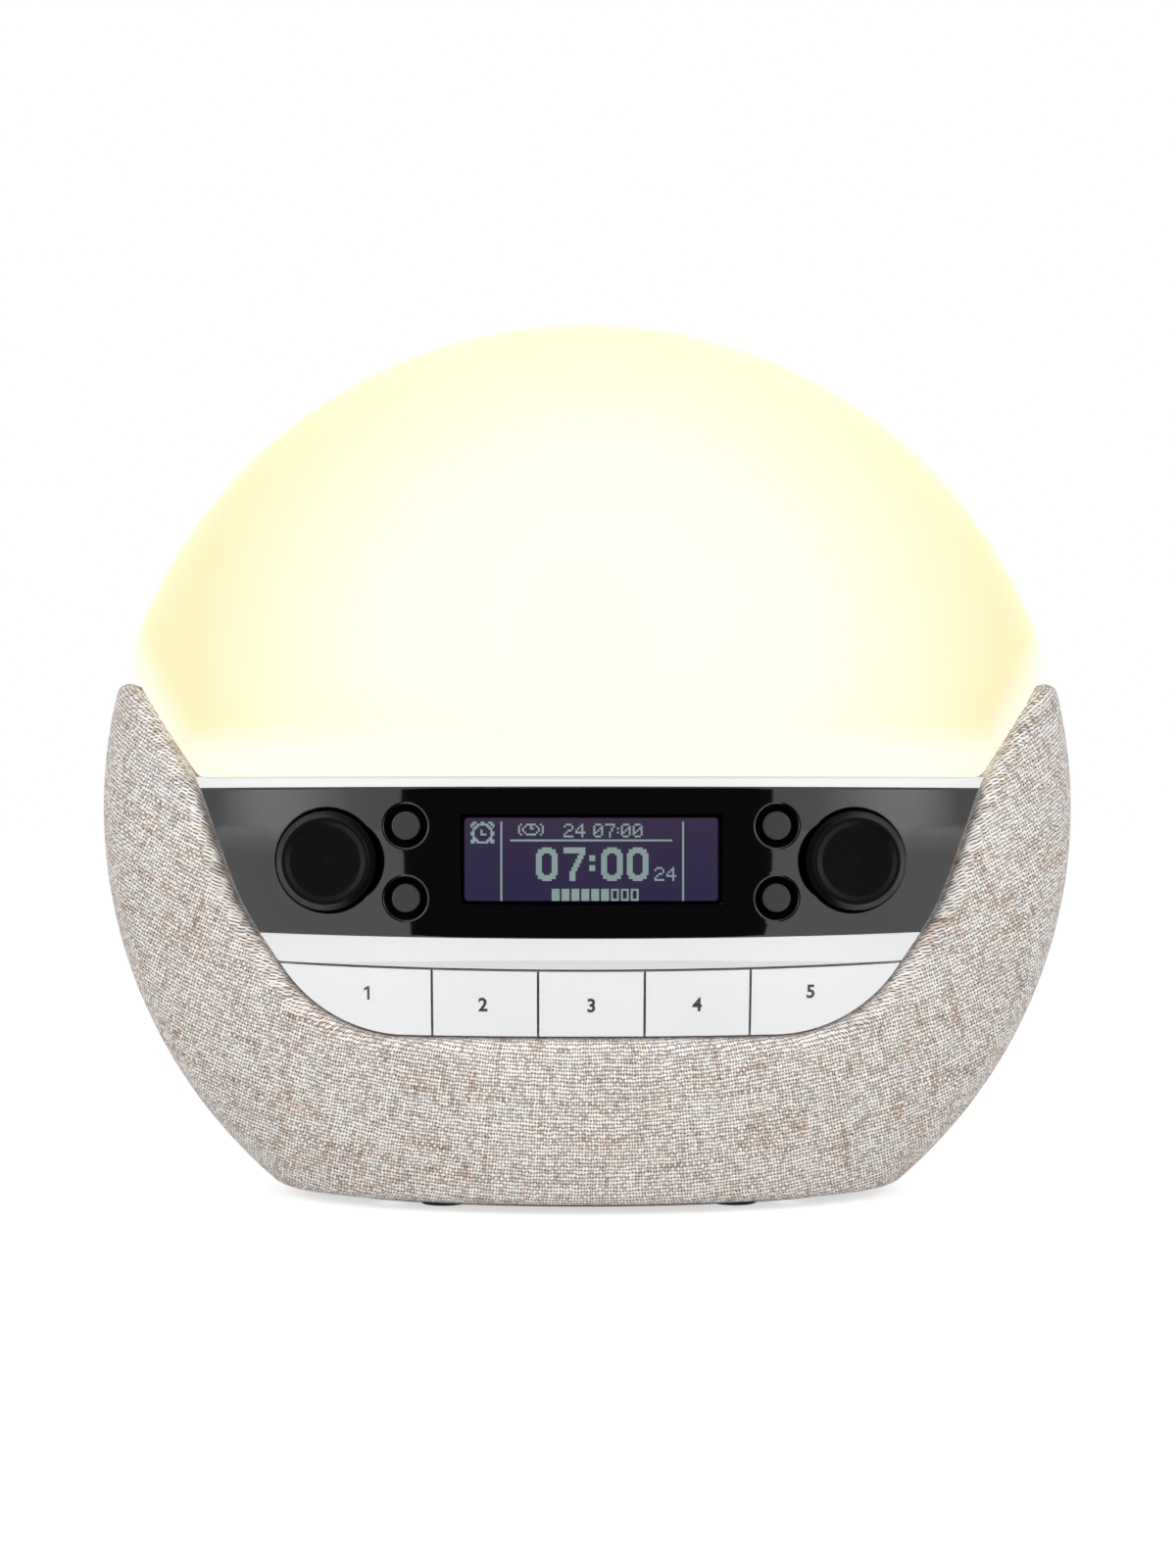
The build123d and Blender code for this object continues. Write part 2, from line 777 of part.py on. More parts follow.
# ---- Dials: knob and shaft turn together, and push a plunger in the encoder --------------------
encoder_face_y = control_board_y - encoder_size[2]
collar_end_y = dial_skirt_y + dial_push + slide_gap
shaft_back_y = control_board_y - shaft_depth
encoder_bore_y = control_board_y - encoder_bore_floor
shaft_front_y = dial_face_y + shaft_engagement
rim_y = dial_face_y + dial_rim_depth
face_floor_y = dial_face_y + dial_lip
rim_top = dial_z + dial_face_radius

for side, x in dial_places.items():
    with BuildPart() as dial:
        with BuildSketch(Plane.YZ.offset(x)):
            with BuildLine():
                FilletPolyline(
                    (dial_skirt_y, dial_z), (dial_skirt_y, dial_z + dial_radius),
                    (rim_y, dial_z + dial_radius), (dial_face_y, rim_top + dial_lip / 2),
                    (dial_face_y, rim_top - dial_lip / 2), (face_floor_y - 0.2, rim_top - 2 * dial_lip),
                    (face_floor_y, dial_z),
                    radius=dial_rim_rounds,
                )
                Line((face_floor_y, dial_z), (dial_skirt_y, dial_z))
            make_face()
        revolve(axis=Axis((x, 0, dial_z), (0, 1, 0)))
        with BuildSketch(Plane.XZ.offset(-dial_skirt_y)):
            with Locations((x, dial_z)):
                Circle(dial_radius - knob_wall)
                Circle(hub_radius, mode=Mode.SUBTRACT)
        extrude(amount=dial_skirt_y - dial_face_y - knob_top, mode=Mode.SUBTRACT)
        with BuildSketch(Plane.XZ.offset(-dial_skirt_y)):
            with Locations((x, dial_z)):
                Circle(shaft_radius + bore_clearance)
        extrude(amount=dial_skirt_y - shaft_front_y, mode=Mode.SUBTRACT)
    save(dial.part, f"{side}_dial")
    save(front_cylinder(x, dial_z, shaft_radius, shaft_back_y, shaft_front_y), f"{side}_dial_shaft")
    plunger = front_cylinder(
        x, dial_z, shaft_radius - bore_clearance,
        encoder_bore_y - dial_push - seat_gap, shaft_back_y + 3 * bore_clearance,
    )
    save(plunger, f"{side}_dial_plunger")

encoder_places = [(x, dial_z) for x in dial_places.values()]
with BuildPart() as encoders:
    with BuildSketch(Plane.XZ.offset(-control_board_y)):
        with Locations(*encoder_places):
            Rectangle(encoder_size[0], encoder_size[1])
    extrude(amount=encoder_size[2])
    chamfer(encoders.edges().filter_by(Axis.Y), encoder_chamfer)
    with BuildSketch(Plane.XZ.offset(-encoder_face_y)):
        with Locations(*encoder_places):
            Circle(encoder_collar_radius)
    extrude(amount=encoder_face_y - collar_end_y)
    with BuildSketch(Plane.XZ.offset(-encoder_bore_y)):
        with Locations(*encoder_places):
            Circle(shaft_radius + bore_clearance)
    extrude(amount=half_depth, mode=Mode.SUBTRACT)
save(encoders.part, "encoders")

# ---- Control board, switches and display --------------------------------------------------------
with BuildPart() as control_board:
    with BuildSketch(Plane.XZ.offset(-control_board_y)):
        with BuildLine():
            Polyline(
                (-control_board_half_bottom, control_board_bottom),
                (control_board_half_bottom, control_board_bottom),
                (control_board_half_top, control_board_top),
                (-control_board_half_top, control_board_top),
                close=True,
            )
        make_face()
        with Locations(*control_screw_places):
            Circle(screw_radius + bore_clearance, mode=Mode.SUBTRACT)
    extrude(amount=-board_thickness)
save(control_board.part, "control_board")

switch_places = [(x, key_stem_z) for x in key_centres.values()] + list(button_places.values())
with BuildPart() as tact_switches:
    with BuildSketch(Plane.XZ.offset(-control_board_y)):
        with Locations(*switch_places):
            Rectangle(switch_size[0], switch_size[1])
    extrude(amount=switch_size[2])
    with BuildSketch(Plane.XZ.offset(-switch_bore_y)):
        with Locations(*switch_places):
            Circle(plunger_radius + bore_clearance)
    extrude(amount=half_depth, mode=Mode.SUBTRACT)
save(tact_switches.part, "tact_switches")

control_screw_seat = Plane((0, control_board_y + board_thickness, 0), x_dir=(1, 0, 0), z_dir=(0, 1, 0))
control_screws = screws(
    [(x, -z) for x, z in control_screw_places], control_screw_seat, board_thickness + control_screw_reach
)
save(control_screws, "control_screws")

with BuildPart() as display_module:
    with BuildSketch(Plane.XZ.offset(-display_y - display_glass_thickness)):
        with Locations(*display_places):
            Rectangle(*glass_size)
    extrude(amount=display_glass_thickness)
save(display_module.part, "display_module")

with BuildPart() as display_holder:
    with BuildSketch(Plane.XZ.offset(-control_board_y)):
        with Locations(*display_places):
            Rectangle(*holder_outer)
            Rectangle(
                glass_size[0] - 2 * holder_ledge, glass_size[1] - 2 * holder_ledge, mode=Mode.SUBTRACT
            )
    extrude(amount=-display_y - display_glass_thickness + control_board_y)
save(display_holder.part, "display_holder")

# ---- Dome, light tray and lamps ------------------------------------------------------------------
dome_block = through(dome_outline())
dome_skin = form(dome_inset) - form(dome_inset + dome_wall)
dome_rim = through(dome_outline() - dome_outline(-dome_rim_height))
rim_space = form(dome_inset + dome_wall - bore_clearance) - form(frame_depth)

with BuildPart() as dome_foot:
    add(dome_rim)
    add(rim_space, mode=Mode.INTERSECT)

with BuildPart() as diffuser_dome:
    add(dome_block)
    add(dome_skin, mode=Mode.INTERSECT)
    add(dome_foot.part)
save(diffuser_dome.part, "diffuser_dome")

led_places = [
    (led_pitch[0] * (column - (led_columns - 1) / 2), led_pitch[1] * (row - (led_rows - 1) / 2))
    for column in range(led_columns) for row in range(led_rows)
]
led_board_screw_places = [
    (x * led_screw_spacing[0] / 2, y * led_screw_spacing[1] / 2) for x in (-1, 1) for y in (-1, 1)
]
tray_top = dome_sill - seat_gap
led_board_top = tray_top + led_board_size[2]

tray_sheet = through(dome_outline(seat_gap + tray_thickness) - dome_outline(seat_gap))
tray_form = form(frame_depth + seat_gap)

with BuildPart() as light_tray:
    add(tray_sheet)
    add(tray_form, mode=Mode.INTERSECT)
    with BuildSketch(Plane.XY.offset(tray_bottom)):
        with Locations(*led_board_screw_places):
            Circle(screw_radius)
        with Locations(led_cable_place):
            Circle(2 * cable_radius)
    extrude(amount=tray_thickness, mode=Mode.SUBTRACT)
save(light_tray.part, "light_tray")

with BuildPart() as led_board:
    with BuildSketch(Plane.XY.offset(tray_top)):
        Ellipse(led_board_size[0] / 2, led_board_size[1] / 2)
        Rectangle(*led_board_tab)
        with Locations(*led_board_screw_places):
            Circle(screw_radius + bore_clearance, mode=Mode.SUBTRACT)
    extrude(amount=led_board_size[2])
save(led_board.part, "led_board")

with BuildPart() as leds:
    with BuildSketch(Plane.XY.offset(led_board_top)):
        with Locations(*led_places):
            Rectangle(led_size[0], led_size[1])
    extrude(amount=led_size[2])
save(leds.part, "leds")

led_screw_seat = Plane.XY.offset(led_board_top)
led_screws = screws(led_board_screw_places, led_screw_seat, led_board_size[2] + tray_thickness)
save(led_screws, "led_screws")

# ---- Rear cover ------------------------------------------------------------------------------------
speaker_z = speaker_radius + speaker_rise
speaker_places = [(side * (speaker_radius + speaker_spread), speaker_z) for side in (-1, 1)]
port_z = main_board_top + dc_size[1] / 2
usb_z = main_board_top + usb_size[1] / 2
grille_radius = speaker_radius - grille_margin
grille_slots = [
    (row, 2 * sqrt(grille_radius ** 2 - row ** 2))
    for row in [grille_pitch * step for step in range(-3, 4)]
]
cover_skin = form(trim_inset, case_bottom, dome_sill) - form(case_inset)
cover_prism = prism(rear_opening(-edge_gap), towards_rear=True)
flange_ring = prism(rear_opening(flange_width) - rear_opening(-flange_width), towards_rear=True)
cover_flange = flange_ring & (
    form(case_inset, case_bottom, dome_sill - seat_gap) - form(case_inset + cover_flange_thickness)
)
boss_form = form(case_inset - bore_clearance, case_bottom, tray_bottom)
rear_ledge = tray_ledge(prism(rear_opening(), towards_rear=True), shell_hollow)

with BuildPart() as cover_bosses:
    for x, z, rear_y in lug_places:
        with BuildSketch(Plane.XZ.offset(-rear_y)):
            with Locations((x, z)):
                Circle(cover_boss_radius)
        extrude(amount=-half_depth)
    with BuildSketch(Plane.XZ.offset(-speaker_face_y - gasket_thickness)):
        with Locations(*speaker_places):
            Circle(speaker_radius)
            Circle(speaker_radius - gasket_width, mode=Mode.SUBTRACT)
    extrude(amount=-half_depth)
    with BuildSketch(Plane.XZ.offset(-port_floor_y + port_wall)):
        with Locations((0, port_z)):
            Rectangle(port_recess_size[0] + 2 * port_wall, port_recess_size[1] + 2 * port_wall)
    extrude(amount=-half_depth)
    add(boss_form, mode=Mode.INTERSECT)

with BuildPart() as rear_cover:
    add(cover_prism)
    add(cover_skin, mode=Mode.INTERSECT)
    add(cover_flange)
    add(cover_bosses.part)
    add(rear_ledge)
    with BuildSketch(Plane.XZ.offset(-port_floor_y)):
        with Locations((0, port_z)):
            Rectangle(*port_recess_size)
    extrude(amount=-half_depth, mode=Mode.SUBTRACT)
    with BuildSketch(front_view):
        with Locations((dc_x, port_z)):
            Rectangle(dc_size[0] + 2 * seat_gap, dc_size[1] + 2 * seat_gap)
        with Locations((usb_x, usb_z)):
            Rectangle(usb_size[0] + 2 * seat_gap, usb_size[1] + 2 * seat_gap)
        for x, z in speaker_places:
            for row, slot_length in grille_slots:
                with Locations((x, z + row)):
                    SlotOverall(slot_length, grille_slot_width)
        with Locations(*[(x, z) for x, z, rear_y in lug_places]):
            Circle(screw_radius + bore_clearance)
    extrude(amount=-2 * half_depth, mode=Mode.SUBTRACT)
    for x, z, rear_y in lug_places:
        with BuildSketch(Plane.XZ.offset(-rear_y - cover_screw_floor)):
            with Locations((x, z)):
                Circle(screw_head_radius + seat_gap)
        extrude(amount=-half_depth, mode=Mode.SUBTRACT)
save(rear_cover.part, "rear_cover")

cover_screws = [
    screws(
        [(x, -z)],
        Plane((0, rear_y + cover_screw_floor, 0), x_dir=(1, 0, 0), z_dir=(0, 1, 0)),
        cover_screw_floor + screw_length,
    )
    for x, z, rear_y in lug_places
]
with BuildPart() as rear_screws:
    add(cover_screws)
save(rear_screws.part, "rear_screws")

# ---- Speakers --------------------------------------------------------------------------------------
rim_back_y = speaker_face_y - flange_thickness
back_y = rim_back_y - basket_depth
basket_profile = [
    (speaker_face_y, speaker_radius - 3 * basket_wall), (speaker_face_y, speaker_radius),
    (rim_back_y, speaker_radius), (rim_back_y, speaker_radius - 2 * basket_wall),
    (back_y, magnet_radius + basket_wall), (back_y, 0),
    (back_y + basket_wall, 0), (back_y + basket_wall, magnet_radius),
    (rim_back_y, speaker_radius - 4 * basket_wall), (rim_back_y, speaker_radius - 3 * basket_wall),
]
cone_profile = [
    (speaker_face_y - 0.3, speaker_radius - cone_inset), (speaker_face_y - 6.6, 7.0),
    (speaker_face_y - 3.8, 4.4), (speaker_face_y - 3.0, 0), (speaker_face_y - 3.7, 0),
    (speaker_face_y - 4.6, 4.0), (speaker_face_y - 7.8, 7.0),
    (rim_back_y, speaker_radius - cone_inset - 1.1), (rim_back_y, speaker_radius - cone_inset),
]


def speaker_turnings(profile):
    """The same turned piece in both speakers, from its (y, radius) profile."""
    with BuildPart() as pieces:
        for x, z in speaker_places:
            with BuildSketch(Plane.YZ.offset(x)):
                with Locations((0, z)):
                    Polygon(*profile, align=None)
            revolve(axis=Axis((x, 0, z), (0, 1, 0)))
    return pieces.part


with BuildPart() as speaker_baskets:
    add(speaker_turnings(basket_profile))
    with BuildSketch(Plane.XZ.offset(-back_y)):
        with Locations(*speaker_places):
            Circle(speaker_radius - basket_window_margin[1])
            Circle(magnet_radius + basket_window_margin[0], mode=Mode.SUBTRACT)
            Rectangle(2 * speaker_radius, basket_spoke_width, mode=Mode.SUBTRACT)
            Rectangle(basket_spoke_width, 2 * speaker_radius, mode=Mode.SUBTRACT)
    extrude(amount=-basket_depth, mode=Mode.SUBTRACT)
save(speaker_baskets.part, "speaker_baskets")
save(speaker_turnings(cone_profile), "speaker_cones")

with BuildPart() as speaker_magnets:
    with BuildSketch(Plane.XZ.offset(-back_y)):
        with Locations(*speaker_places):
            Circle(magnet_radius)
    extrude(amount=magnet_depth)
save(speaker_magnets.part, "speaker_magnets")

with BuildPart() as speaker_gaskets:
    with BuildSketch(Plane.XZ.offset(-speaker_face_y)):
        with Locations(*speaker_places):
            Circle(speaker_radius)
            Circle(speaker_radius - gasket_width, mode=Mode.SUBTRACT)
    extrude(amount=-gasket_thickness)
save(speaker_gaskets.part, "speaker_gaskets")

# ---- Main board and what stands on it --------------------------------------------------------------
tongue_length = port_floor_y - port_wall - seat_gap - main_board_y


def on_board(shift):
    """A place on the main board from its distance to the board's centre."""
    return (shift[0], main_board_y + shift[1])


with BuildPart() as main_board:
    with BuildSketch(Plane.XY.offset(board_bottom)):
        with Locations((0, main_board_y)):
            RectangleRounded(*main_board_size, board_corner_round)
            Rectangle(port_tongue_width, tongue_length, align=(Align.CENTER, Align.MIN))
        with Locations(*board_post_places):
            Circle(screw_radius + bore_clearance, mode=Mode.SUBTRACT)
    extrude(amount=board_thickness)
save(main_board.part, "main_board")
board_screws = screws(board_post_places, Plane.XY.offset(main_board_top), board_thickness + screw_length)
save(board_screws, "board_screws")

with BuildPart() as board_chips:
    with BuildSketch(Plane.XY.offset(main_board_top)):
        for shift, size in chips:
            with Locations(on_board(shift)):
                Rectangle(*size)
    extrude(amount=chip_height)
save(board_chips.part, "board_chips")

with BuildPart() as capacitors:
    with BuildSketch(Plane.XY.offset(main_board_top)):
        with Locations(*[on_board(shift) for shift in capacitor_shifts]):
            Circle(capacitor_size[0])
    extrude(amount=capacitor_size[1])
save(capacitors.part, "capacitors")

cell_seat = main_board_top + cell_holder_floor
cell_place = on_board(cell_shift)
with BuildPart() as cell_holder:
    with BuildSketch(Plane.XY.offset(main_board_top)):
        with Locations(cell_place):
            Circle(cell_size[0] + cell_holder_wall)
    extrude(amount=cell_holder_floor + cell_size[1] - seat_gap)
    with BuildSketch(Plane.XY.offset(cell_seat)):
        with Locations(cell_place):
            Circle(cell_size[0] + bore_clearance)
    extrude(amount=cell_size[1], mode=Mode.SUBTRACT)
save(cell_holder.part, "cell_holder")

with BuildPart() as backup_cell:
    with BuildSketch(Plane.XY.offset(cell_seat)):
        with Locations(cell_place):
            Circle(cell_size[0])
    extrude(amount=cell_size[1])
save(backup_cell.part, "backup_cell")

port_face_y = port_floor_y - 2 * seat_gap
with BuildPart() as dc_inlet:
    with BuildSketch(Plane.XZ.offset(-port_face_y)):
        with Locations((dc_x, port_z)):
            Rectangle(dc_size[0], dc_size[1])
    extrude(amount=dc_size[2])
    with BuildSketch(Plane.XZ.offset(-port_face_y)):
        with Locations((dc_x, port_z)):
            Circle(dc_bore_radius)
            Circle(dc_pin_radius, mode=Mode.SUBTRACT)
    extrude(amount=dc_bore_depth, mode=Mode.SUBTRACT)
save(dc_inlet.part, "dc_inlet")

with BuildPart() as usb_socket:
    with BuildSketch(Plane.XZ.offset(-port_face_y)):
        with Locations((usb_x, usb_z)):
            Rectangle(usb_size[0], usb_size[1])
    extrude(amount=usb_size[2])
    with BuildSketch(Plane.XZ.offset(-port_face_y)):
        with Locations((usb_x, usb_z)):
            Rectangle(usb_size[0] - 2 * usb_wall, usb_size[1] - 2 * usb_wall)
        with Locations((usb_x, usb_z + usb_tongue_rise)):
            Rectangle(*usb_tongue, mode=Mode.SUBTRACT)
    extrude(amount=dc_bore_depth, mode=Mode.SUBTRACT)
save(usb_socket.part, "usb_socket")

# ---- Connectors and cables inside ----------------------------------------------------------------
control_board_back_y = control_board_y + board_thickness
connector_top = main_board_top + ribbon_connector_size[2]
led_connector_top = main_board_top + led_connector_size[2]
ribbon_start_y = control_board_back_y + ribbon_connector_size[1]
ribbon_main_y = main_board_y - ribbon_setback
ribbon_turn_z = connector_top + ribbon_drop
with BuildPart() as board_connectors:
    with Locations((0, control_board_back_y, control_screw_z)):
        Box(*ribbon_connector_size, align=(Align.CENTER, Align.MIN, Align.CENTER))
    with Locations((0, ribbon_main_y, main_board_top)):
        Box(*ribbon_connector_size, align=(Align.CENTER, Align.CENTER, Align.MIN))
    with Locations((*led_cable_place, main_board_top)):
        Box(*led_connector_size, align=(Align.CENTER, Align.CENTER, Align.MIN))
save(board_connectors.part, "board_connectors")

with BuildPart() as ribbon_cable:
    with BuildSketch(Plane.YZ):
        with BuildLine() as route:
            FilletPolyline(
                (ribbon_start_y, control_screw_z), (ribbon_start_y + ribbon_reach, control_screw_z),
                (ribbon_main_y, ribbon_turn_z), (ribbon_main_y, connector_top),
                radius=[ribbon_bend, ribbon_bend],
            )
        trace(line_width=ribbon_thickness)
    extrude(amount=ribbon_width / 2, both=True)
save(ribbon_cable.part, "ribbon_cable")

with BuildPart() as led_cable:
    with BuildSketch(Plane.XY.offset(led_connector_top)):
        with Locations(led_cable_place):
            Circle(cable_radius)
    extrude(amount=tray_top - led_connector_top)
save(led_cable.part, "led_cable")
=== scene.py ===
import json
import math

import bpy
import numpy as np
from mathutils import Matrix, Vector
from mathutils.bvhtree import BVHTree


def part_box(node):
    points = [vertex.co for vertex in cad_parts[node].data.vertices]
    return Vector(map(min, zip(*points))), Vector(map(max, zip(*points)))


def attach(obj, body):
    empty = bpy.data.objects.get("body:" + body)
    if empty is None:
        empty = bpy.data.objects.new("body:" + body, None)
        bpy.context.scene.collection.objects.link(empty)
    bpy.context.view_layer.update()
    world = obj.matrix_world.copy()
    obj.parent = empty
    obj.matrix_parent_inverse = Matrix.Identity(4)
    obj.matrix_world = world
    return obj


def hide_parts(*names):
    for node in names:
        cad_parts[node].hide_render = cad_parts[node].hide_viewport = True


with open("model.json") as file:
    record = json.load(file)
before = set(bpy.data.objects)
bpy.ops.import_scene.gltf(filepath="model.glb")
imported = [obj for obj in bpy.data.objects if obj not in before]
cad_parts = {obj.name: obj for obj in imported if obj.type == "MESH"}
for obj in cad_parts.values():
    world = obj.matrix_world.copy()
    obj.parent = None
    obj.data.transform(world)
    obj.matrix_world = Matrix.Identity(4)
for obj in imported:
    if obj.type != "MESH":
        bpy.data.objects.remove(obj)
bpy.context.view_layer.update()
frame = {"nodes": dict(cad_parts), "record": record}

MM = 0.001

# ---- The form, read from the frame --------------------------------------------------------------
cradle_low, cradle_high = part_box("fabric_cover")
dome_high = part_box("diffuser_dome")[1]
# The dome lies this far inside the form. No piece spans the form's full height, so that is given.
DOME_INSET = 0.5 * MM
HALF_HEIGHT = 110.4 * MM
HALF_WIDTH = cradle_high.x
HALF_DEPTH = dome_high.y + DOME_INSET
FORM_CENTRE = dome_high.z + DOME_INSET - HALF_HEIGHT
CASE_BOTTOM = cradle_low.z

# Corners of the openings' outlines in front view, in millimetres, and the dome's lower edge
WAIST, SHOULDER = (74.2, 66.3), (84.3, 93.2)
HORN_INNER, HORN_OUTER = (96.4, 111.6), (116.0, 122.2)
DOME_EDGE = 98.5 * MM


def form_axes(inset=0.0):
    """Half-axes of the ellipsoid that the case and the dome are cut from."""
    return np.array([HALF_WIDTH - inset, HALF_DEPTH - inset, HALF_HEIGHT - inset])


# ---- Node materials ------------------------------------------------------------------------------
class Shader:
    """A node material with one Principled shader. A value is a number, a colour or a socket."""

    def __init__(self, name, **values):
        self.material = bpy.data.materials.new(name)
        self.material.use_nodes = True
        self.tree = self.material.node_tree
        self.bsdf = self.tree.nodes["Principled BSDF"]
        self.set(**values)

    def set(self, **values):
        """Put values on the Principled shader's sockets, named with _ for each space."""
        for key, value in values.items():
            self.put(self.bsdf.inputs[key.replace("_", " ").replace("Ior", "IOR")], value)

    def put(self, socket, value):
        """Link another socket to this one, or set its number or colour."""
        if isinstance(value, bpy.types.NodeSocket):
            self.tree.links.new(value, socket)
        elif hasattr(value, "__len__") and len(value) == 3 and socket.type == "RGBA":
            socket.default_value = (*value, 1.0)
        else:
            socket.default_value = value

    def node(self, kind, output=0, inputs=(), **settings):
        """Add a shader node and return one of its outputs."""
        made = self.tree.nodes.new("ShaderNode" + kind)
        for key, value in settings.items():
            setattr(made, key, value)
        for key, value in dict(inputs).items():
            self.put(made.inputs[key], value)
        return made.outputs[output]

    def math(self, operation, a, b=0.0):
        return self.node("Math", 0, {0: a, 1: b}, operation=operation)

    def place(self):
        """Place on the object, in metres: every object here sits at the origin."""
        return self.node("TexCoord", "Object")

    def noise(self, scale, detail, rough=0.5, stretch=(1, 1, 1)):
        """Noise round 0.5 over the object, with the places it is read at stretched."""
        vector = self.place()
        if stretch != (1, 1, 1):
            vector = self.node("Mapping", 0, {"Vector": vector, "Scale": stretch})
        return self.node(
            "TexNoise", "Fac", {"Vector": vector, "Scale": scale, "Detail": detail, "Roughness": rough}
        )

    def ramp(self, factor, *stops):
        """Colour along stops of (position, colour)."""
        made = self.tree.nodes.new("ShaderNodeValToRGB")
        elements = made.color_ramp.elements
        while len(elements) < len(stops):
            elements.new(0.5)
        for element, (position, colour) in zip(elements, stops):
            element.position = position
            element.color = (*colour, 1.0)
        self.put(made.inputs["Fac"], factor)
        return made.outputs["Color"]

    def parts(self, vector):
        """X, Y and Z of a vector."""
        made = self.tree.nodes.new("ShaderNodeSeparateXYZ")
        self.put(made.inputs[0], vector)
        return made.outputs

    def distance(self, vector, centre, scale=(1, 1, 1)):
        """How far a place is from a centre, with each axis scaled."""
        offset = self.node("VectorMath", 0, {0: vector, 1: centre}, operation="SUBTRACT")
        scaled = self.node("VectorMath", 0, {0: offset, 1: scale}, operation="MULTIPLY")
        return self.node("VectorMath", "Value", {0: scaled}, operation="LENGTH")

    def span(self, value, low, high, to_low=0.0, to_high=1.0, kind="LINEAR"):
        """A value taken from one range to another, held at its ends."""
        return self.node(
            "MapRange", 0,
            {"Value": value, "From Min": low, "From Max": high, "To Min": to_low, "To Max": to_high},
            interpolation_type=kind,
        )

    def mix(self, factor, a, b, blend="MIX", clamped=False):
        """Two colours blended by a factor."""
        made = self.tree.nodes.new("ShaderNodeMix")
        made.data_type = "RGBA"
        made.blend_type = blend
        made.clamp_result = clamped
        for index, value in ((0, factor), (6, a), (7, b)):
            self.put(made.inputs[index], value)
        return made.outputs[2]

    def bump(self, height, distance, strength):
        """Normals of a relief with this height and depth."""
        return self.node("Bump", 0, {"Height": height, "Distance": distance, "Strength": strength})


def tint(colour, share):
    """The colour made lighter or darker, with 1 for no change."""
    return tuple(min(1.0, c * share) for c in colour)


TONE_NOISE, GLOSS_SPREAD = 35.0, 0.15


def moulded(name, colour, roughness, grain=900.0, depth=0.02 * MM, spread=0.04, **values):
    """Moulded plastic or rubber: a fine moulded grain, with a slight drift in tone and gloss."""
    s = Shader(name, **values)
    drift = s.noise(TONE_NOISE, 2.0)
    fine = s.noise(grain, 4.0, 0.6)
    s.set(
        Base_Color=s.ramp(drift, (0.3, tint(colour, 1 - spread)), (0.7, tint(colour, 1 + spread))),
        Roughness=s.span(fine, 0.3, 0.7, roughness * (1 - GLOSS_SPREAD), roughness * (1 + GLOSS_SPREAD)),
        Normal=s.bump(fine, depth, 0.35),
    )
    return s.material


def metal(name, colour, roughness, grain=(1, 1, 1)):
    """Plated or bare metal with fine brushing."""
    s = Shader(name, Metallic=1.0)
    lines = s.noise(700.0, 3.0, 0.6, stretch=grain)
    s.set(
        Base_Color=s.ramp(lines, (0.3, tint(colour, 0.88)), (0.7, tint(colour, 1.06))),
        Roughness=s.span(lines, 0.3, 0.7, roughness * 0.8, roughness * 1.25),
        Normal=s.bump(lines, 0.01 * MM, 0.3),
    )
    return s.material


def board(name, mask, copper):
    """Circuit board: solder mask over raised tracks, with rows of plated pads."""
    s = Shader(name, Coat_Weight=0.3, Coat_Roughness=0.2)
    cells = s.node("TexBrick", "Fac", {"Vector": s.place(), "Scale": 160.0, "Mortar Size": 0.04})
    pads = s.node("TexVoronoi", "Distance", {"Vector": s.place(), "Scale": 260.0, "Randomness": 0.1})
    pad = s.math("LESS_THAN", pads, 0.16)
    s.set(
        Base_Color=s.mix(pad, s.mix(cells, mask, tint(mask, 1.7)), copper),
        Roughness=s.span(pad, 0, 1, 0.38, 0.3),
        Metallic=s.math("MULTIPLY", pad, 0.8),
        Normal=s.bump(cells, 0.04 * MM, 0.5),
    )
    return s.material


WARP_PITCH, WEFT_PITCH = 0.63 * MM, 0.81 * MM
# Noise that bends the yarns: its scale and how far it moves them
YARN_DRIFTS = ((90.0, 0.9 * MM), (650.0, 0.75 * MM))
YARN_SHADES = (
    (0.27, (0.60, 0.45, 0.35)), (0.38, (0.85, 0.75, 0.67)), (0.46, (0.99, 0.95, 0.91)),
    (0.58, (1.0, 0.99, 0.97)), (0.74, (0.96, 0.97, 0.98)),
)
# For each set of yarns: a seed, and how often per metre a yarn's tone changes
WARP_DYE, WEFT_DYE = (3.1, 95.0), (47.7, 70.0)
DYED_SHARE, OWN_SHARE = 0.82, 0.18
# How a yarn's crown narrows at the ends of a float, and the height of wefts and fibres
WARP_TAPER, WEFT_TAPER = 0.45, 0.6
WEFT_CROWN, FIBRE_CROWN, RELIEF = 0.8, 0.35, 0.2 * MM
# Painted shade in the weave: how far the holes, grooves and creases darken, and the shades they darken
# through
HOLE_SHADE, GROOVE_SHADE, CREASE_SHADE = 1.3, 0.34, 0.14
PAINTED_GAP_SHADES = ((0.06, (1, 1, 1)), (0.36, (0.60, 0.53, 0.48)), (0.78, (0.13, 0.09, 0.07)))
TAN = (0.62, 0.47, 0.37)


def drifted(s, cloth):
    """Places on the cloth, moved a little so that no yarn runs quite straight."""
    for scale, reach in YARN_DRIFTS:
        drift = s.node("TexNoise", "Color", {"Vector": s.place(), "Scale": scale, "Detail": 1.0})
        offset = s.node("VectorMath", 0, {0: drift, 1: (0.5, 0.5, 0.5)}, operation="SUBTRACT")
        shift = s.node("VectorMath", 0, {0: offset, "Scale": reach}, operation="SCALE")
        cloth = s.node("VectorMath", 0, {0: cloth, 1: shift}, operation="ADD")
    return s.parts(cloth)


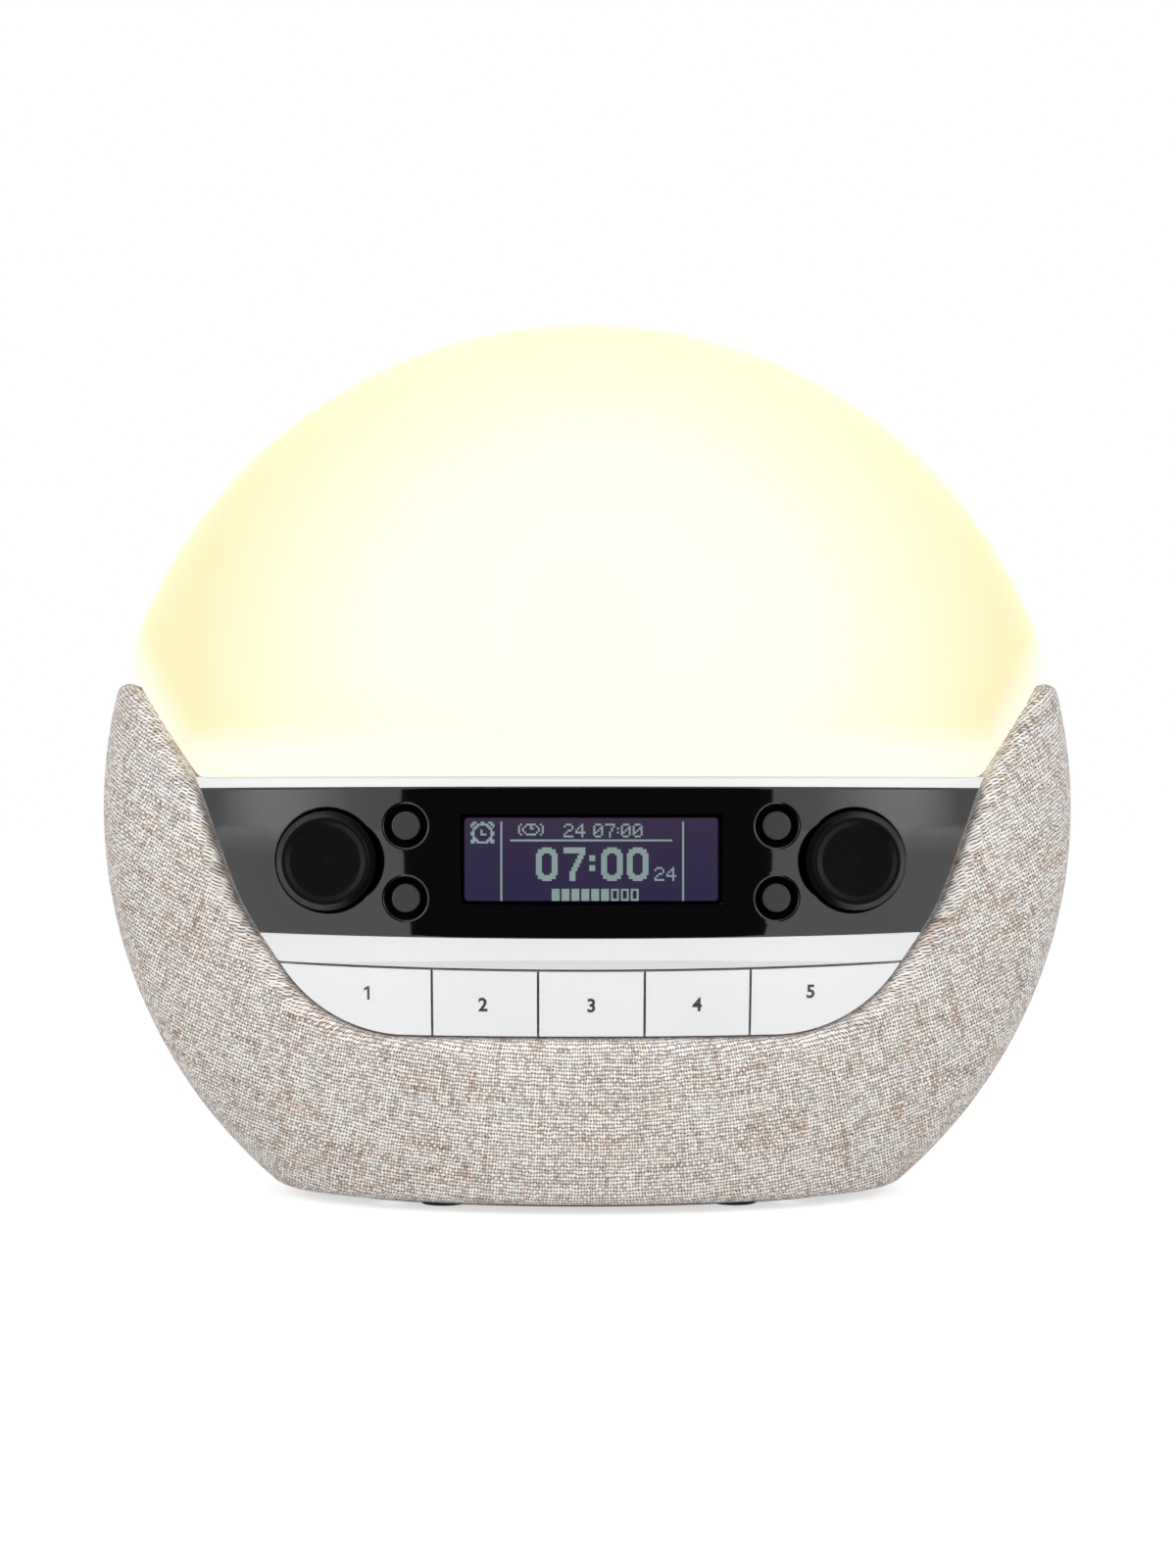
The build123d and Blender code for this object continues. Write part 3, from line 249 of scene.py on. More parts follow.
def yarn_colour(s, yarn, along, seed, scale):
    """Colour of a yarn: its own shade, with slubs and dyed lengths along it."""
    own = s.math("FLOOR", yarn)
    where = s.node("CombineXYZ", 0, {
        "X": s.math("MULTIPLY", own, 0.37), "Y": s.math("MULTIPLY", along, scale), "Z": seed,
    })
    dyed = s.node("TexNoise", "Fac", {"Vector": where, "Scale": 1.0, "Detail": 2.0, "Roughness": 0.6})
    shade = s.node("TexWhiteNoise", "Value", {"W": s.math("ADD", own, seed)}, noise_dimensions="1D")
    tone = s.math("ADD", s.math("MULTIPLY", dyed, DYED_SHARE), s.math("MULTIPLY", shade, OWN_SHARE))
    return s.ramp(tone, *YARN_SHADES)


def crossing_shade(s, warp, weft, warp_on_top):
    """Lighter and darker crossings and lumps as tone at random, with painted shade that makes the warps a
    little lighter than the wefts.
    """
    crossing = s.node("CombineXYZ", 0, {"X": s.math("FLOOR", warp), "Y": s.math("FLOOR", weft)})
    tone = s.node("TexWhiteNoise", "Value", {"Vector": crossing}, noise_dimensions="3D")
    lumps = s.noise(420.0, 2.0, 0.6)
    shade = s.math("MULTIPLY", s.span(tone, 0, 1, 0.70, 1.36), s.span(lumps, 0.3, 0.7, 0.86, 1.14))
    # Painted shade: crossings where the weft lies on top are a little darker than those where the warp
    # does
    return s.math("MULTIPLY", shade, s.span(warp_on_top, 0, 1, 0.92, 1.04))


def gap_colour(s, warp_round, weft_round):
    """Painted shade in the holes between yarns, the grooves beside the wefts and the creases beside the
    warps.
    """
    beside_warp = s.math("SUBTRACT", 1.0, warp_round)
    beside_weft = s.math("SUBTRACT", 1.0, weft_round)
    hole = s.math("MULTIPLY", s.math("MULTIPLY", beside_warp, beside_weft), HOLE_SHADE)
    groove = s.math("MULTIPLY", s.math("POWER", beside_weft, 2.0), GROOVE_SHADE)
    crease = s.math("MULTIPLY", s.math("POWER", beside_warp, 2.0), CREASE_SHADE)
    dip = s.math("ADD", hole, s.math("ADD", groove, crease))
    return s.ramp(dip, *PAINTED_GAP_SHADES)


def woven_fabric():
    """Plain weave of slubby cream, beige and tan yarns. The weave map holds metres of cloth."""
    s = Shader("woven_fabric", Roughness=0.92, Sheen_Weight=0.2, Sheen_Roughness=0.5,
               Specular_IOR_Level=0.2)
    across, along, _ = drifted(s, s.node("UVMap", 0, uv_map="weave"))
    warp, weft = s.math("DIVIDE", across, WARP_PITCH), s.math("DIVIDE", along, WEFT_PITCH)
    warp_wave = s.math("SINE", s.math("MULTIPLY", warp, math.pi))
    weft_wave = s.math("SINE", s.math("MULTIPLY", weft, math.pi))
    warp_on_top = s.math("GREATER_THAN", s.math("MULTIPLY", warp_wave, weft_wave), 0.0)
    warp_round, weft_round = s.math("ABSOLUTE", warp_wave), s.math("ABSOLUTE", weft_wave)
    warp_float = s.math("MULTIPLY", warp_round, s.math("POWER", weft_round, WARP_TAPER))
    weft_float = s.math("MULTIPLY", weft_round, s.math("POWER", warp_round, WEFT_TAPER))
    low_weft = s.math("MULTIPLY", weft_float, WEFT_CROWN)
    crown = s.node("Mix", 0, {0: warp_on_top, 2: low_weft, 3: warp_float})
    warp_colour = yarn_colour(s, warp, along, *WARP_DYE)
    weft_colour = yarn_colour(s, weft, across, *WEFT_DYE)
    patches = s.span(s.noise(42.0, 3.0, 0.6, stretch=(1.7, 1.7, 0.7)), 0.42, 0.64, 0.0, 0.17)
    yarns = s.mix(patches, s.mix(warp_on_top, weft_colour, warp_colour), TAN, "MULTIPLY")
    # Painted shade darkens the yarns' colour in the holes, grooves and creases between them
    with_painted_shade = s.mix(1.0, yarns, gap_colour(s, warp_round, weft_round), "MULTIPLY")
    fibres = s.math("MULTIPLY", s.noise(5200.0, 2.0, 0.7), FIBRE_CROWN)
    s.set(
        Base_Color=s.mix(1.0, with_painted_shade, crossing_shade(s, warp, weft, warp_on_top), "MULTIPLY", True),
        Normal=s.bump(s.math("ADD", crown, fibres), RELIEF, 0.5),
    )
    return s.material


GLOW_CENTRE = (2.0 * MM, 0.0, 125.0 * MM)
GLOW_SCALE = (1.0 / (90.0 * MM), 0.3 / HALF_DEPTH, 1.0 / (80.0 * MM))
GLOW_SHADES = (
    (0.35, (0.73, 0.73, 0.635)), (0.55, (0.74, 0.725, 0.57)), (0.75, (0.75, 0.68, 0.45)),
    (0.90, (0.75, 0.635, 0.345)), (0.99, (0.74, 0.595, 0.27)),
)
RIM_COLOUR, RIM_NEAR, RIM_FAR, RIM_SHARE = (0.73, 0.725, 0.62), 0.5 * MM, 7.0 * MM, 0.8
GLOW_UNEVENNESS = 0.1


def above_dome_edge(s):
    """Height above the dome's lower edge, which runs level in the middle and up along the arms."""
    x, _, up = s.parts(s.place())
    lean = math.atan2(HORN_INNER[1] - SHOULDER[1], HORN_INNER[0] - SHOULDER[0])
    inwards = s.math("SUBTRACT", SHOULDER[0] * MM, s.math("ABSOLUTE", x))
    upwards = s.math("SUBTRACT", up, SHOULDER[1] * MM)
    above_slope = s.math("ADD", s.math("MULTIPLY", inwards, math.sin(lean)),
                         s.math("MULTIPLY", upwards, math.cos(lean)))
    return s.math("MINIMUM", s.math("SUBTRACT", up, DOME_EDGE), above_slope)


def opal_diffuser():
    """Opal plastic lit from inside: brightest low in the middle, warmer to its outline, and pale again
    along its lower edge, where the light tray is near."""
    s = Shader("opal_diffuser", Roughness=0.32, Specular_IOR_Level=0.35, Emission_Strength=1.0)
    cloud = s.noise(9.0, 1.0, 0.4)
    unevenness = s.math("MULTIPLY", s.math("SUBTRACT", cloud, 0.5), GLOW_UNEVENNESS)
    warmth = s.math("ADD", s.distance(s.place(), GLOW_CENTRE, GLOW_SCALE), unevenness)
    rim = s.span(above_dome_edge(s), RIM_NEAR, RIM_FAR, RIM_SHARE, 0.0)
    s.set(
        Base_Color=s.mix(cloud, (0.30, 0.29, 0.25), (0.32, 0.31, 0.27)),
        Emission_Color=s.mix(rim, s.ramp(warmth, *GLOW_SHADES), RIM_COLOUR),
    )
    return s.material


def finish_materials():
    """One finish for each material slot of the record."""
    return {
        "woven_fabric": woven_fabric(),
        "opal_diffuser": opal_diffuser(),
        "cradle_plastic": moulded("cradle_plastic", (0.36, 0.34, 0.32), 0.55),
        "dark_plastic": moulded("dark_plastic", (0.045, 0.045, 0.048), 0.5, 700.0, 0.03 * MM),
        "rubber": moulded("rubber", (0.03, 0.03, 0.03), 0.8, 1200.0, 0.03 * MM),
        "white_plastic": moulded("white_plastic", (0.86, 0.865, 0.875), 0.38, 1600.0, 0.004 * MM, 0.01),
        "key_white": moulded("key_white", (0.885, 0.89, 0.9), 0.36, 1600.0, 0.004 * MM, 0.01),
        "black_gloss": moulded("black_gloss", (0.003, 0.003, 0.004), 0.05, 300.0, 0.002 * MM,
                               Coat_Weight=0.5, Coat_Roughness=0.03),
        "smoked_lens": moulded("smoked_lens", (0.62, 0.58, 0.7), 0.02, 200.0, 0.001 * MM,
                               Transmission_Weight=1.0, IOR=1.49),
        "display_glass": moulded("display_glass", (0.012, 0.011, 0.02), 0.1, 300.0, 0.001 * MM),
        "black_matt": moulded("black_matt", (0.018, 0.018, 0.019), 0.55),
        "dial_black": moulded("dial_black", (0.006, 0.006, 0.007), 0.3, 2600.0, 0.01 * MM,
                              Specular_IOR_Level=0.15),
        "button_grey": moulded("button_grey", (0.04, 0.04, 0.042), 0.5, 2200.0, 0.01 * MM),
        "switch_black": moulded("switch_black", (0.02, 0.02, 0.021), 0.5),
        "white_board": board("white_board", (0.8, 0.8, 0.78), (0.7, 0.62, 0.45)),
        "led_white": moulded("led_white", (0.93, 0.8, 0.4), 0.3, Emission_Color=(1.0, 0.85, 0.6),
                             Emission_Strength=1.0),
        "circuit_board": board("circuit_board", (0.02, 0.14, 0.05), (0.75, 0.6, 0.3)),
        "switch_metal": metal("switch_metal", (0.62, 0.62, 0.63), 0.3, (1, 1, 8)),
        "screw_steel": metal("screw_steel", (0.5, 0.5, 0.51), 0.32, (1, 6, 1)),
        "magnet": metal("magnet", (0.2, 0.2, 0.21), 0.4),
        "speaker_paper": moulded("speaker_paper", (0.035, 0.035, 0.036), 0.85, 500.0, 0.1 * MM, 0.15),
        "foam": moulded("foam", (0.03, 0.03, 0.03), 0.95, 1500.0, 0.2 * MM, 0.1),
        "connector_white": moulded("connector_white", (0.8, 0.77, 0.7), 0.45),
        "cable_grey": moulded("cable_grey", (0.4, 0.4, 0.42), 0.45),
    }


finishes = finish_materials()
for subpart in frame["record"]["subparts"]:
    mesh = frame["nodes"][subpart["node"]].data
    mesh.materials.clear()
    mesh.materials.append(finishes[subpart["material_slot"]])


def add_piece(name, mesh, body, slot, finish=None):
    """A new piece with its mesh, riding on a body, with a slot's finish or one of its own."""
    piece = bpy.data.objects.new(name, mesh)
    bpy.context.collection.objects.link(piece)
    mesh.materials.clear()
    mesh.materials.append(finish or finishes[slot])
    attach(piece, body)
    return piece


# ---- Fabric cover -----------------------------------------------------------------------------------
FABRIC_THICKNESS = 0.8 * MM
EDGE_ROUND, BASE_ROUND = 2.7 * MM, 5.0 * MM
TUCK_DEPTH = 3.4 * MM
# Half-axes of the cover's opening round the base plate
BASE_PLATE_SEMI = (62.2 * MM, 33.2 * MM)
# Corners of each opening from its middle outwards, with the radius at each corner between the ends
FRONT_OPENING = ([(0, 39.5), (55.6, 39.5), WAIST, SHOULDER, HORN_INNER, HORN_OUTER], [32, 60, 40, 14])
REAR_OPENING = ([(0, 20), (42, 20), WAIST, SHOULDER, HORN_INNER, HORN_OUTER], [26, 60, 40, 14])
OUTLINE_STEP, CLOTH_STEP = 0.05 * MM, 1.3 * MM
PLATE_ROWS, BASE_ROWS, EDGE_ROWS, TUCK_ROWS = 5, 8, 8, 4
FORM_ROWS = int((HORN_OUTER[1] * MM - CASE_BOTTOM) / CLOTH_STEP)
FIRST_ON_FORM = PLATE_ROWS + BASE_ROWS - 1
# How the cloth lies: the centre it is bent round, above the form's centre, and its stretch
CLOTH_PIVOT, CLOTH_BEND = 175 * MM, 250 * MM
SIDE_STRETCH, ARM_STRETCH = 0.55, 0.07
REAR_SHIFT = (200 * WARP_PITCH, 100 * WEFT_PITCH)
WELD_REACH = 0.02 * MM


def filleted(points, rounds):
    """Points and tangents along a polyline whose corners are rounded, in metres."""
    points = np.array(points, float) * MM
    ways = np.diff(points, axis=0)
    ways /= np.linalg.norm(ways, axis=1)[:, None]
    placed, headings = [], []
    start = points[0]
    for i, radius in enumerate(rounds):
        before, after = ways[i], ways[i + 1]
        turn = math.atan2(before[0] * after[1] - before[1] * after[0], before @ after)
        cut = radius * MM * math.tan(abs(turn) / 2)
        first = points[i + 1] - cut * before
        runs = np.arange(0, np.linalg.norm(first - start), OUTLINE_STEP)
        placed.append(start + runs[:, None] * before)
        headings.append(np.tile(before, (len(runs), 1)))
        side = np.array([-before[1], before[0]]) * math.copysign(1, turn)
        centre = first + radius * MM * side
        angles = np.arange(0, abs(turn), OUTLINE_STEP / (radius * MM))
        placed.append(centre + radius * MM * (
            np.sin(angles)[:, None] * before - np.cos(angles)[:, None] * side))
        headings.append(np.cos(angles)[:, None] * before + np.sin(angles)[:, None] * side)
        start = points[i + 1] + cut * after
    runs = np.arange(0, np.linalg.norm(points[-1] - start), OUTLINE_STEP)
    placed.append(start + runs[:, None] * ways[-1])
    headings.append(np.tile(ways[-1], (len(runs), 1)))
    return np.concatenate(placed), np.concatenate(headings)


def unit(v):
    """Vectors of length 1 along v."""
    return v / np.maximum(np.linalg.norm(v, axis=-1, keepdims=True), 1e-12)


def onto_form(points):
    """Where each point, moved along the form's own normal there, meets the form's surface."""
    axes = form_axes()
    centred = points - [0, 0, FORM_CENTRE]
    normal = unit(centred / axes ** 2)
    a = ((normal / axes) ** 2).sum(1)
    b = (centred * normal / axes ** 2).sum(1)
    c = ((centred / axes) ** 2).sum(1) - 1
    return points + ((-b + np.sqrt(b * b - a * c)) / a)[:, None] * normal


def swept(centre, first, last, steps):
    """Points from first to last round a centre, evenly turned."""
    u, w = first - centre, last - centre
    lu, lw = np.linalg.norm(u, axis=1), np.linalg.norm(w, axis=1)
    angle = np.arccos(np.clip((unit(u) * unit(w)).sum(1), -1, 1))[:, None]
    rows = []
    for t in np.linspace(0, 1, steps + 1):
        way = (np.sin((1 - t) * angle) * unit(u) + np.sin(t * angle) * unit(w)) / np.sin(angle)
        rows.append(centre + way * ((1 - t) * lu + t * lw)[:, None])
    return rows


def form_section(z, inset=0.0):
    """Half-width and half-depth of the form at a height."""
    width, depth, height = form_axes(inset)
    share = np.sqrt(1 - ((z - FORM_CENTRE) / height) ** 2)
    return width * share, depth * share


def turn_of(points):
    """Turn of each point on the form round its upright axis, from the side to the front or rear."""
    width, depth = form_section(points[:, 2])
    return np.arctan2(np.abs(points[:, 1]) / depth, points[:, 0] / width)


def edge_roll(opening, side):
    """Centres of the cover's rolled edge along an opening, and where the roll ends inside it."""
    outline, heading = filleted(*opening)
    out = np.stack([heading[:, 1], -heading[:, 0]], 1)
    spine = outline + EDGE_ROUND * out
    width, depth, height = form_axes(EDGE_ROUND)
    inside = 1 - (spine[:, 0] / width) ** 2 - ((spine[:, 1] - FORM_CENTRE) / height) ** 2
    last = np.argmax(inside < 0)
    inside[last] = 0
    keep = slice(0, last + 1)
    centre = np.stack([spine[keep, 0], side * depth * np.sqrt(inside[keep]), spine[keep, 1]], 1)
    travel = np.concatenate([[0], np.cumsum(np.linalg.norm(np.diff(centre, axis=0), axis=1))])
    even = np.linspace(0, travel[-1], int(travel[-1] / CLOTH_STEP) + 1)
    centre = np.stack([np.interp(even, travel, centre[:, k]) for k in range(3)], 1)
    inward = -np.stack([np.interp(even, travel, out[keep, k]) for k in range(2)], 1)
    wall = centre + EDGE_ROUND * unit(np.stack([inward[:, 0], 0 * even, inward[:, 1]], 1))
    return centre, wall


def base_rows(turn, side):
    """Rows from the base plate's edge outwards under the case and up round its lower edge."""
    z = CASE_BOTTOM + BASE_ROUND
    width, depth = form_section(z, BASE_ROUND)
    centre = np.stack([width * np.cos(turn), side * depth * np.sin(turn), np.full(len(turn), z)], 1)
    under = centre - [0, 0, BASE_ROUND]
    plate_x, plate_y = BASE_PLATE_SEMI[0] * np.cos(turn), side * BASE_PLATE_SEMI[1] * np.sin(turn)
    plate = np.stack([plate_x, plate_y, under[:, 2]], 1)
    rows = [plate + t * (under - plate) for t in np.linspace(0, 1, PLATE_ROWS)]
    return rows + swept(centre, under, onto_form(centre), BASE_ROWS)[1:]


def cover_quarter(opening, side):
    """Rows of points over a quarter of the cover, from the base plate's edge to the tucked edge.
    side is -1 at the front and 1 at the rear; x is positive."""
    centre, wall = edge_roll(opening, side)
    top = onto_form(centre)
    turn = turn_of(top)
    rows = base_rows(turn, side)
    low = rows[-1]
    low_turn = turn_of(low)
    for t in np.linspace(0, 1, FORM_ROWS + 1)[1:]:
        z = low[:, 2] + t * (top[:, 2] - low[:, 2])
        angle = low_turn + t * (turn - low_turn)
        width, depth = form_section(z)
        rows.append(np.stack([width * np.cos(angle), side * depth * np.sin(angle), z], 1))
    rows += swept(centre, top, wall, EDGE_ROWS)[1:]
    tuck = np.minimum(TUCK_DEPTH, np.abs(wall[:, 1]))
    for t in np.linspace(0, 1, TUCK_ROWS + 1)[1:]:
        rows.append(wall + np.stack([0 * tuck, -side * t * tuck, 0 * tuck], 1))
    return np.array(rows)


def weave_places(points):
    """Metres of cloth, across and along, at points of the cover. The cloth is stretched outwards from the
    middle of each half, more towards the sides, and bent like a bowl: its wefts rise to both sides and
    its warps lean together upwards."""
    width, depth, height = form_axes()
    x, z = points[:, 0], points[:, 2] - FORM_CENTRE
    out = np.hypot(x / width, z / height)
    turns = np.linspace(0, math.pi / 2, 361)
    outward = np.diff(width * np.sin(turns))
    steps = np.maximum(outward, SIDE_STRETCH * np.hypot(outward, np.diff(depth * np.cos(turns))))
    runs = np.concatenate([[0], np.cumsum(steps)])
    run = np.interp(np.arctan2(out, np.abs(points[:, 1]) / depth), turns, runs)
    spread = run / (width * np.maximum(out, 1e-9))
    aside, below = x * spread, CLOTH_PIVOT - z * spread
    across = CLOTH_BEND * np.arctan2(aside, below)
    across *= 1 - ARM_STRETCH * (across / width) ** 2
    return np.stack([across, CLOTH_BEND - np.hypot(aside, below)], 1)


def grid_weave(grid):
    """Metres of cloth over a quarter's grid. Past the rows on the form, round the edges, the cloth runs on
    as it does over the last three of them."""
    weave = np.zeros((*grid.shape[:2], 2))
    last = FIRST_ON_FORM + FORM_ROWS
    on_form = slice(FIRST_ON_FORM, last + 1)
    weave[on_form] = weave_places(grid[on_form].reshape(-1, 3)).reshape(FORM_ROWS + 1, -1, 2)
    for edge, step, end in ((last, 1, len(grid)), (FIRST_ON_FORM, -1, -1)):
        inner = edge - 3 * step
        way = (weave[edge] - weave[inner]) / np.linalg.norm(grid[edge] - grid[inner], axis=1)[:, None]
        for row in range(edge + step, end, step):
            run = np.linalg.norm(grid[row] - grid[row - step], axis=1)[:, None]
            weave[row] = weave[row - step] + run * way
    return weave


def cover_mesh():
    """The cover's outer face: four quarters side by side, each with its weave map."""
    corners, faces, weaves = [], [], []
    for opening, side in ((FRONT_OPENING, -1), (REAR_OPENING, 1)):
        quarter = cover_quarter(opening, side)
        weave = grid_weave(quarter)
        if side > 0:
            weave += REAR_SHIFT
        rows, columns = quarter.shape[:2]
        for mirror in (1, -1):
            base = sum(len(c) for c in corners)
            corners.append((quarter * [mirror, 1, 1]).reshape(-1, 3))
            weaves.append((weave * [mirror, 1]).reshape(-1, 2))
            index = base + np.arange(rows * columns).reshape(rows, columns)
            quads = np.stack([index[:-1, :-1], index[:-1, 1:], index[1:, 1:], index[1:, :-1]], -1)
            quads = quads.reshape(-1, 4)
            faces.append(quads if side * mirror < 0 else quads[:, ::-1])
    mesh = bpy.data.meshes.new("woven_cover")
    mesh.from_pydata(np.concatenate(corners).tolist(), [], np.concatenate(faces).tolist())
    layer = mesh.uv_layers.new(name="weave", do_init=False)
    corner_vertex = np.zeros(len(mesh.loops), int)
    mesh.loops.foreach_get("vertex_index", corner_vertex)
    layer.uv.foreach_set("vector", np.concatenate(weaves)[corner_vertex].astype(np.float32).ravel())
    return mesh


def fabric_cover():
    """The quarters joined into one cloth, with its thickness inwards from the form."""
    piece = add_piece("woven_cover", cover_mesh(), "housing", "woven_fabric")
    weld = piece.modifiers.new("weld", "WELD")
    weld.merge_threshold = WELD_REACH
    bpy.context.view_layer.objects.active = piece
    bpy.ops.object.modifier_apply(modifier=weld.name)
    piece.data.polygons.foreach_set("use_smooth", [True] * len(piece.data.polygons))
    solid = piece.modifiers.new("thickness", "SOLIDIFY")
    solid.thickness = FABRIC_THICKNESS
    solid.offset = -1
    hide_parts("fabric_cover")


fabric_cover()


# ---- Numbers on the keys --------------------------------------------------------------------------
NUMBER_SIZE = 3.9 * MM
NUMBER_BOLDNESS = 0.028
NUMBER_LIFT = 0.03 * MM
# Middle of each number in front view, in millimetres
NUMBER_PLACES = {1: (-46.9, 48.8), 2: (-22.5, 46.5), 3: (0.0, 46.4), 4: (22.0, 46.5), 5: (46.0, 48.9)}
BEFORE_KEYS = -200 * MM
# The 1, as shares of the number's size
ONE_OUTLINE = ((0.02, -0.37), (0.15, -0.37), (0.15, 0.37), (0.05, 0.37), (-0.15, 0.25), (-0.15, 0.12),
               (0.02, 0.21))
ONE_FACES = [(0, 1, 2, 6), (6, 2, 3), (6, 3, 4, 5)]


def number_mesh(text):
    """Flat mesh of a number, centred, in its own XY plane. The 1 is a stroke with a flag."""
    if text == "1":
        mesh = bpy.data.meshes.new("number")
        mesh.from_pydata([(x * NUMBER_SIZE, y * NUMBER_SIZE, 0) for x, y in ONE_OUTLINE], [], ONE_FACES)
        return mesh
    curve = bpy.data.curves.new("number", "FONT")
    curve.body = text
    curve.size = NUMBER_SIZE
    curve.align_x = "CENTER"
    curve.align_y = "CENTER"
    curve.resolution_u = 6
    curve.offset = NUMBER_SIZE * NUMBER_BOLDNESS
    holder = bpy.data.objects.new("number", curve)
    bpy.context.collection.objects.link(holder)
    bpy.context.view_layer.update()
    mesh = bpy.data.meshes.new_from_object(holder.evaluated_get(bpy.context.evaluated_depsgraph_get()))
    bpy.data.objects.remove(holder)
    return mesh


def key_numbers():
    """Numbers printed on the keys: each point lies on the key's own front."""
    ink = moulded("printed_number", (0.05, 0.05, 0.055), 0.5, 2000.0, 0.002 * MM)
    for number, (x, z) in NUMBER_PLACES.items():
        key = frame["nodes"][f"key_{number}"].data
        surface = BVHTree.FromPolygons([v.co for v in key.vertices], [p.vertices for p in key.polygons])
        mesh = number_mesh(str(number))
        for v in mesh.vertices:
            across, up = x * MM + v.co.x, z * MM + v.co.y
            hit = surface.ray_cast(Vector((across, BEFORE_KEYS, up)), Vector((0, 1, 0)))[0]
            v.co = (across, hit.y - NUMBER_LIFT, up)
        add_piece(f"number_{number}", mesh, f"key_{number}", "switch_black", ink)


key_numbers()


# ---- Display -----------------------------------------------------------------------------------------
CELL = 0.409 * MM
SCREEN_LEFT, SCREEN_TOP = -26.2 * MM, 85.45 * MM
SCREEN_CELLS = (128, 42)
SCREEN_RIGHT, SCREEN_BOTTOM = SCREEN_LEFT + SCREEN_CELLS[0] * CELL, SCREEN_TOP - SCREEN_CELLS[1] * CELL
SCREEN_CORNER, CORNER_STEPS = 0.7 * MM, 6
SCREEN_LIFT, CELL_LIFT = 0.02 * MM, 0.05 * MM
SCREEN_DRIFT = 8 * MM
SCREEN_SHADES = ((0.0, (0.050, 0.044, 0.100)), (0.6, (0.062, 0.050, 0.095)), (1.0, (0.082, 0.060, 0.100)))
CELL_SHADES = ((0.3, (0.37, 0.56, 0.43)), (0.7, (0.43, 0.63, 0.50)))
SMALL_DIGITS = {
    "0": (".###.", "#...#", "#..##", "#.#.#", "##..#", "#...#", ".###."),
    "1": ("..#..", ".##..", "..#..", "..#..", "..#..", "..#..", ".###."),
    "2": (".###.", "#...#", "....#", "..##.", ".#...", "#....", "#####"),
    "4": ("...#.", "..##.", ".#.#.", "#..#.", "#####", "...#.", "...#."),
    "7": ("#####", "....#", "...#.", "...#.", "..#..", "..#..", "..#.."),
    ":": (".", ".", "#", ".", "#", ".", "."),
    " ": ("..", "..", "..", "..", "..", "..", ".."),
}
ALARM_CLOCK = (
    ".##..##..##.", "##.######.##", "#.##....##.#", ".##......##.", ".#...#....#.", "##...#....##",
    "##...###..##", ".#........#.", ".##......##.", "####....####", "##.######.##",
)
RINGING = (
    ".#..#####..#.", "#..#..#..#..#", "#.#...##..#.#", "#.#.......#.#", "#..#.....#..#", ".#..#####..#.",
)
BIG_DIGIT = (11, 17)
BIG_STROKE, BIG_CORNER = 3, 5
SEVEN_FOOT, SEVEN_BEND = 3, 12
# What the screen shows, placed in cells from its upper left corner: (left, top, width, height)
DIVIDING_LINES = ((18, 2, 1, 40), (110, 2, 1, 40), (23, 11, 82, 1))
COLON_DOTS = ((63, 19), (63, 24))
ZERO_PLACES, SEVEN_PLACE = ((36, 15), (69, 15), (82, 15)), (50, 15)
LEVEL_PLACE, LEVEL_SEGMENT, LEVEL_PITCH, LEVEL_STEPS, LEVEL_LIT = (44, 36), (4, 6), 5, 9, 6


def drawn(rows, left, top):
    """Cells of a small picture with # for each lit cell."""
    return {(left + c, top + r) for r, row in enumerate(rows) for c, mark in enumerate(row) if mark == "#"}


def block(left, top, width, height):
    """Cells of a rectangle."""
    return {(left + c, top + r) for c in range(width) for r in range(height)}


def small_text(text, left, top):
    """Cells of small digits in a row."""
    cells = set()
    for mark in text:
        cells |= drawn(SMALL_DIGITS[mark], left, top)
        left += len(SMALL_DIGITS[mark][0]) + 1
    return cells


def big_zero(left, top):
    """A ring between two rounded rectangles."""
    width, height = BIG_DIGIT

    def inside(c, r, inset, corner):
        x = max(abs(c + 0.5 - width / 2) - (width / 2 - inset - corner), 0)
        y = max(abs(r + 0.5 - height / 2) - (height / 2 - inset - corner), 0)
        return math.hypot(x, y) <= corner

    return {
        (left + c, top + r) for c, r in block(0, 0, width, height)
        if inside(c, r, 0, BIG_CORNER) and not inside(c, r, BIG_STROKE, BIG_CORNER - BIG_STROKE)
    }


def big_seven(left, top):
    """A bar with a stroke that leans down to the left, then drops."""
    width, height = BIG_DIGIT
    cells = block(left, top, width, BIG_STROKE)
    for r in range(BIG_STROKE, height):
        lean = max(0.0, (SEVEN_BEND - r) / (SEVEN_BEND - BIG_STROKE))
        shift = SEVEN_FOOT + round(lean * (width - SEVEN_FOOT - BIG_STROKE))
        cells |= block(left + shift, top + r, BIG_STROKE, 1)
    return cells


def level_bar():
    """A row of segments, the first ones filled and the rest drawn as frames."""
    left, top = LEVEL_PLACE
    width, height = LEVEL_SEGMENT
    cells = set()
    for step in range(LEVEL_STEPS):
        cells |= block(left, top, width, height)
        if step >= LEVEL_LIT:
            cells -= block(left + 1, top + 1, width - 2, height - 2)
        left += LEVEL_PITCH
    return cells


def screen_cells():
    """Every lit cell: clock icon, alarm line, the time, a level bar and the dividing lines."""
    cells = drawn(ALARM_CLOCK, 3, 2) | drawn(RINGING, 27, 3) | small_text("24 07:00", 50, 3)
    cells |= big_seven(*SEVEN_PLACE) | small_text("24", 96, 25) | level_bar()
    for line in DIVIDING_LINES:
        cells |= block(*line)
    for place in ZERO_PLACES:
        cells |= big_zero(*place)
    for dot in COLON_DOTS:
        cells |= block(*dot, BIG_STROKE, BIG_STROKE)
    return cells


def cell_runs(cells):
    """Runs of lit cells along each row, as (left, row, length)."""
    for row in range(SCREEN_CELLS[1]):
        start = None
        for column in range(SCREEN_CELLS[0] + 1):
            lit = (column, row) in cells
            if lit and start is None:
                start = column
            if not lit and start is not None:
                yield start, row, column - start
                start = None


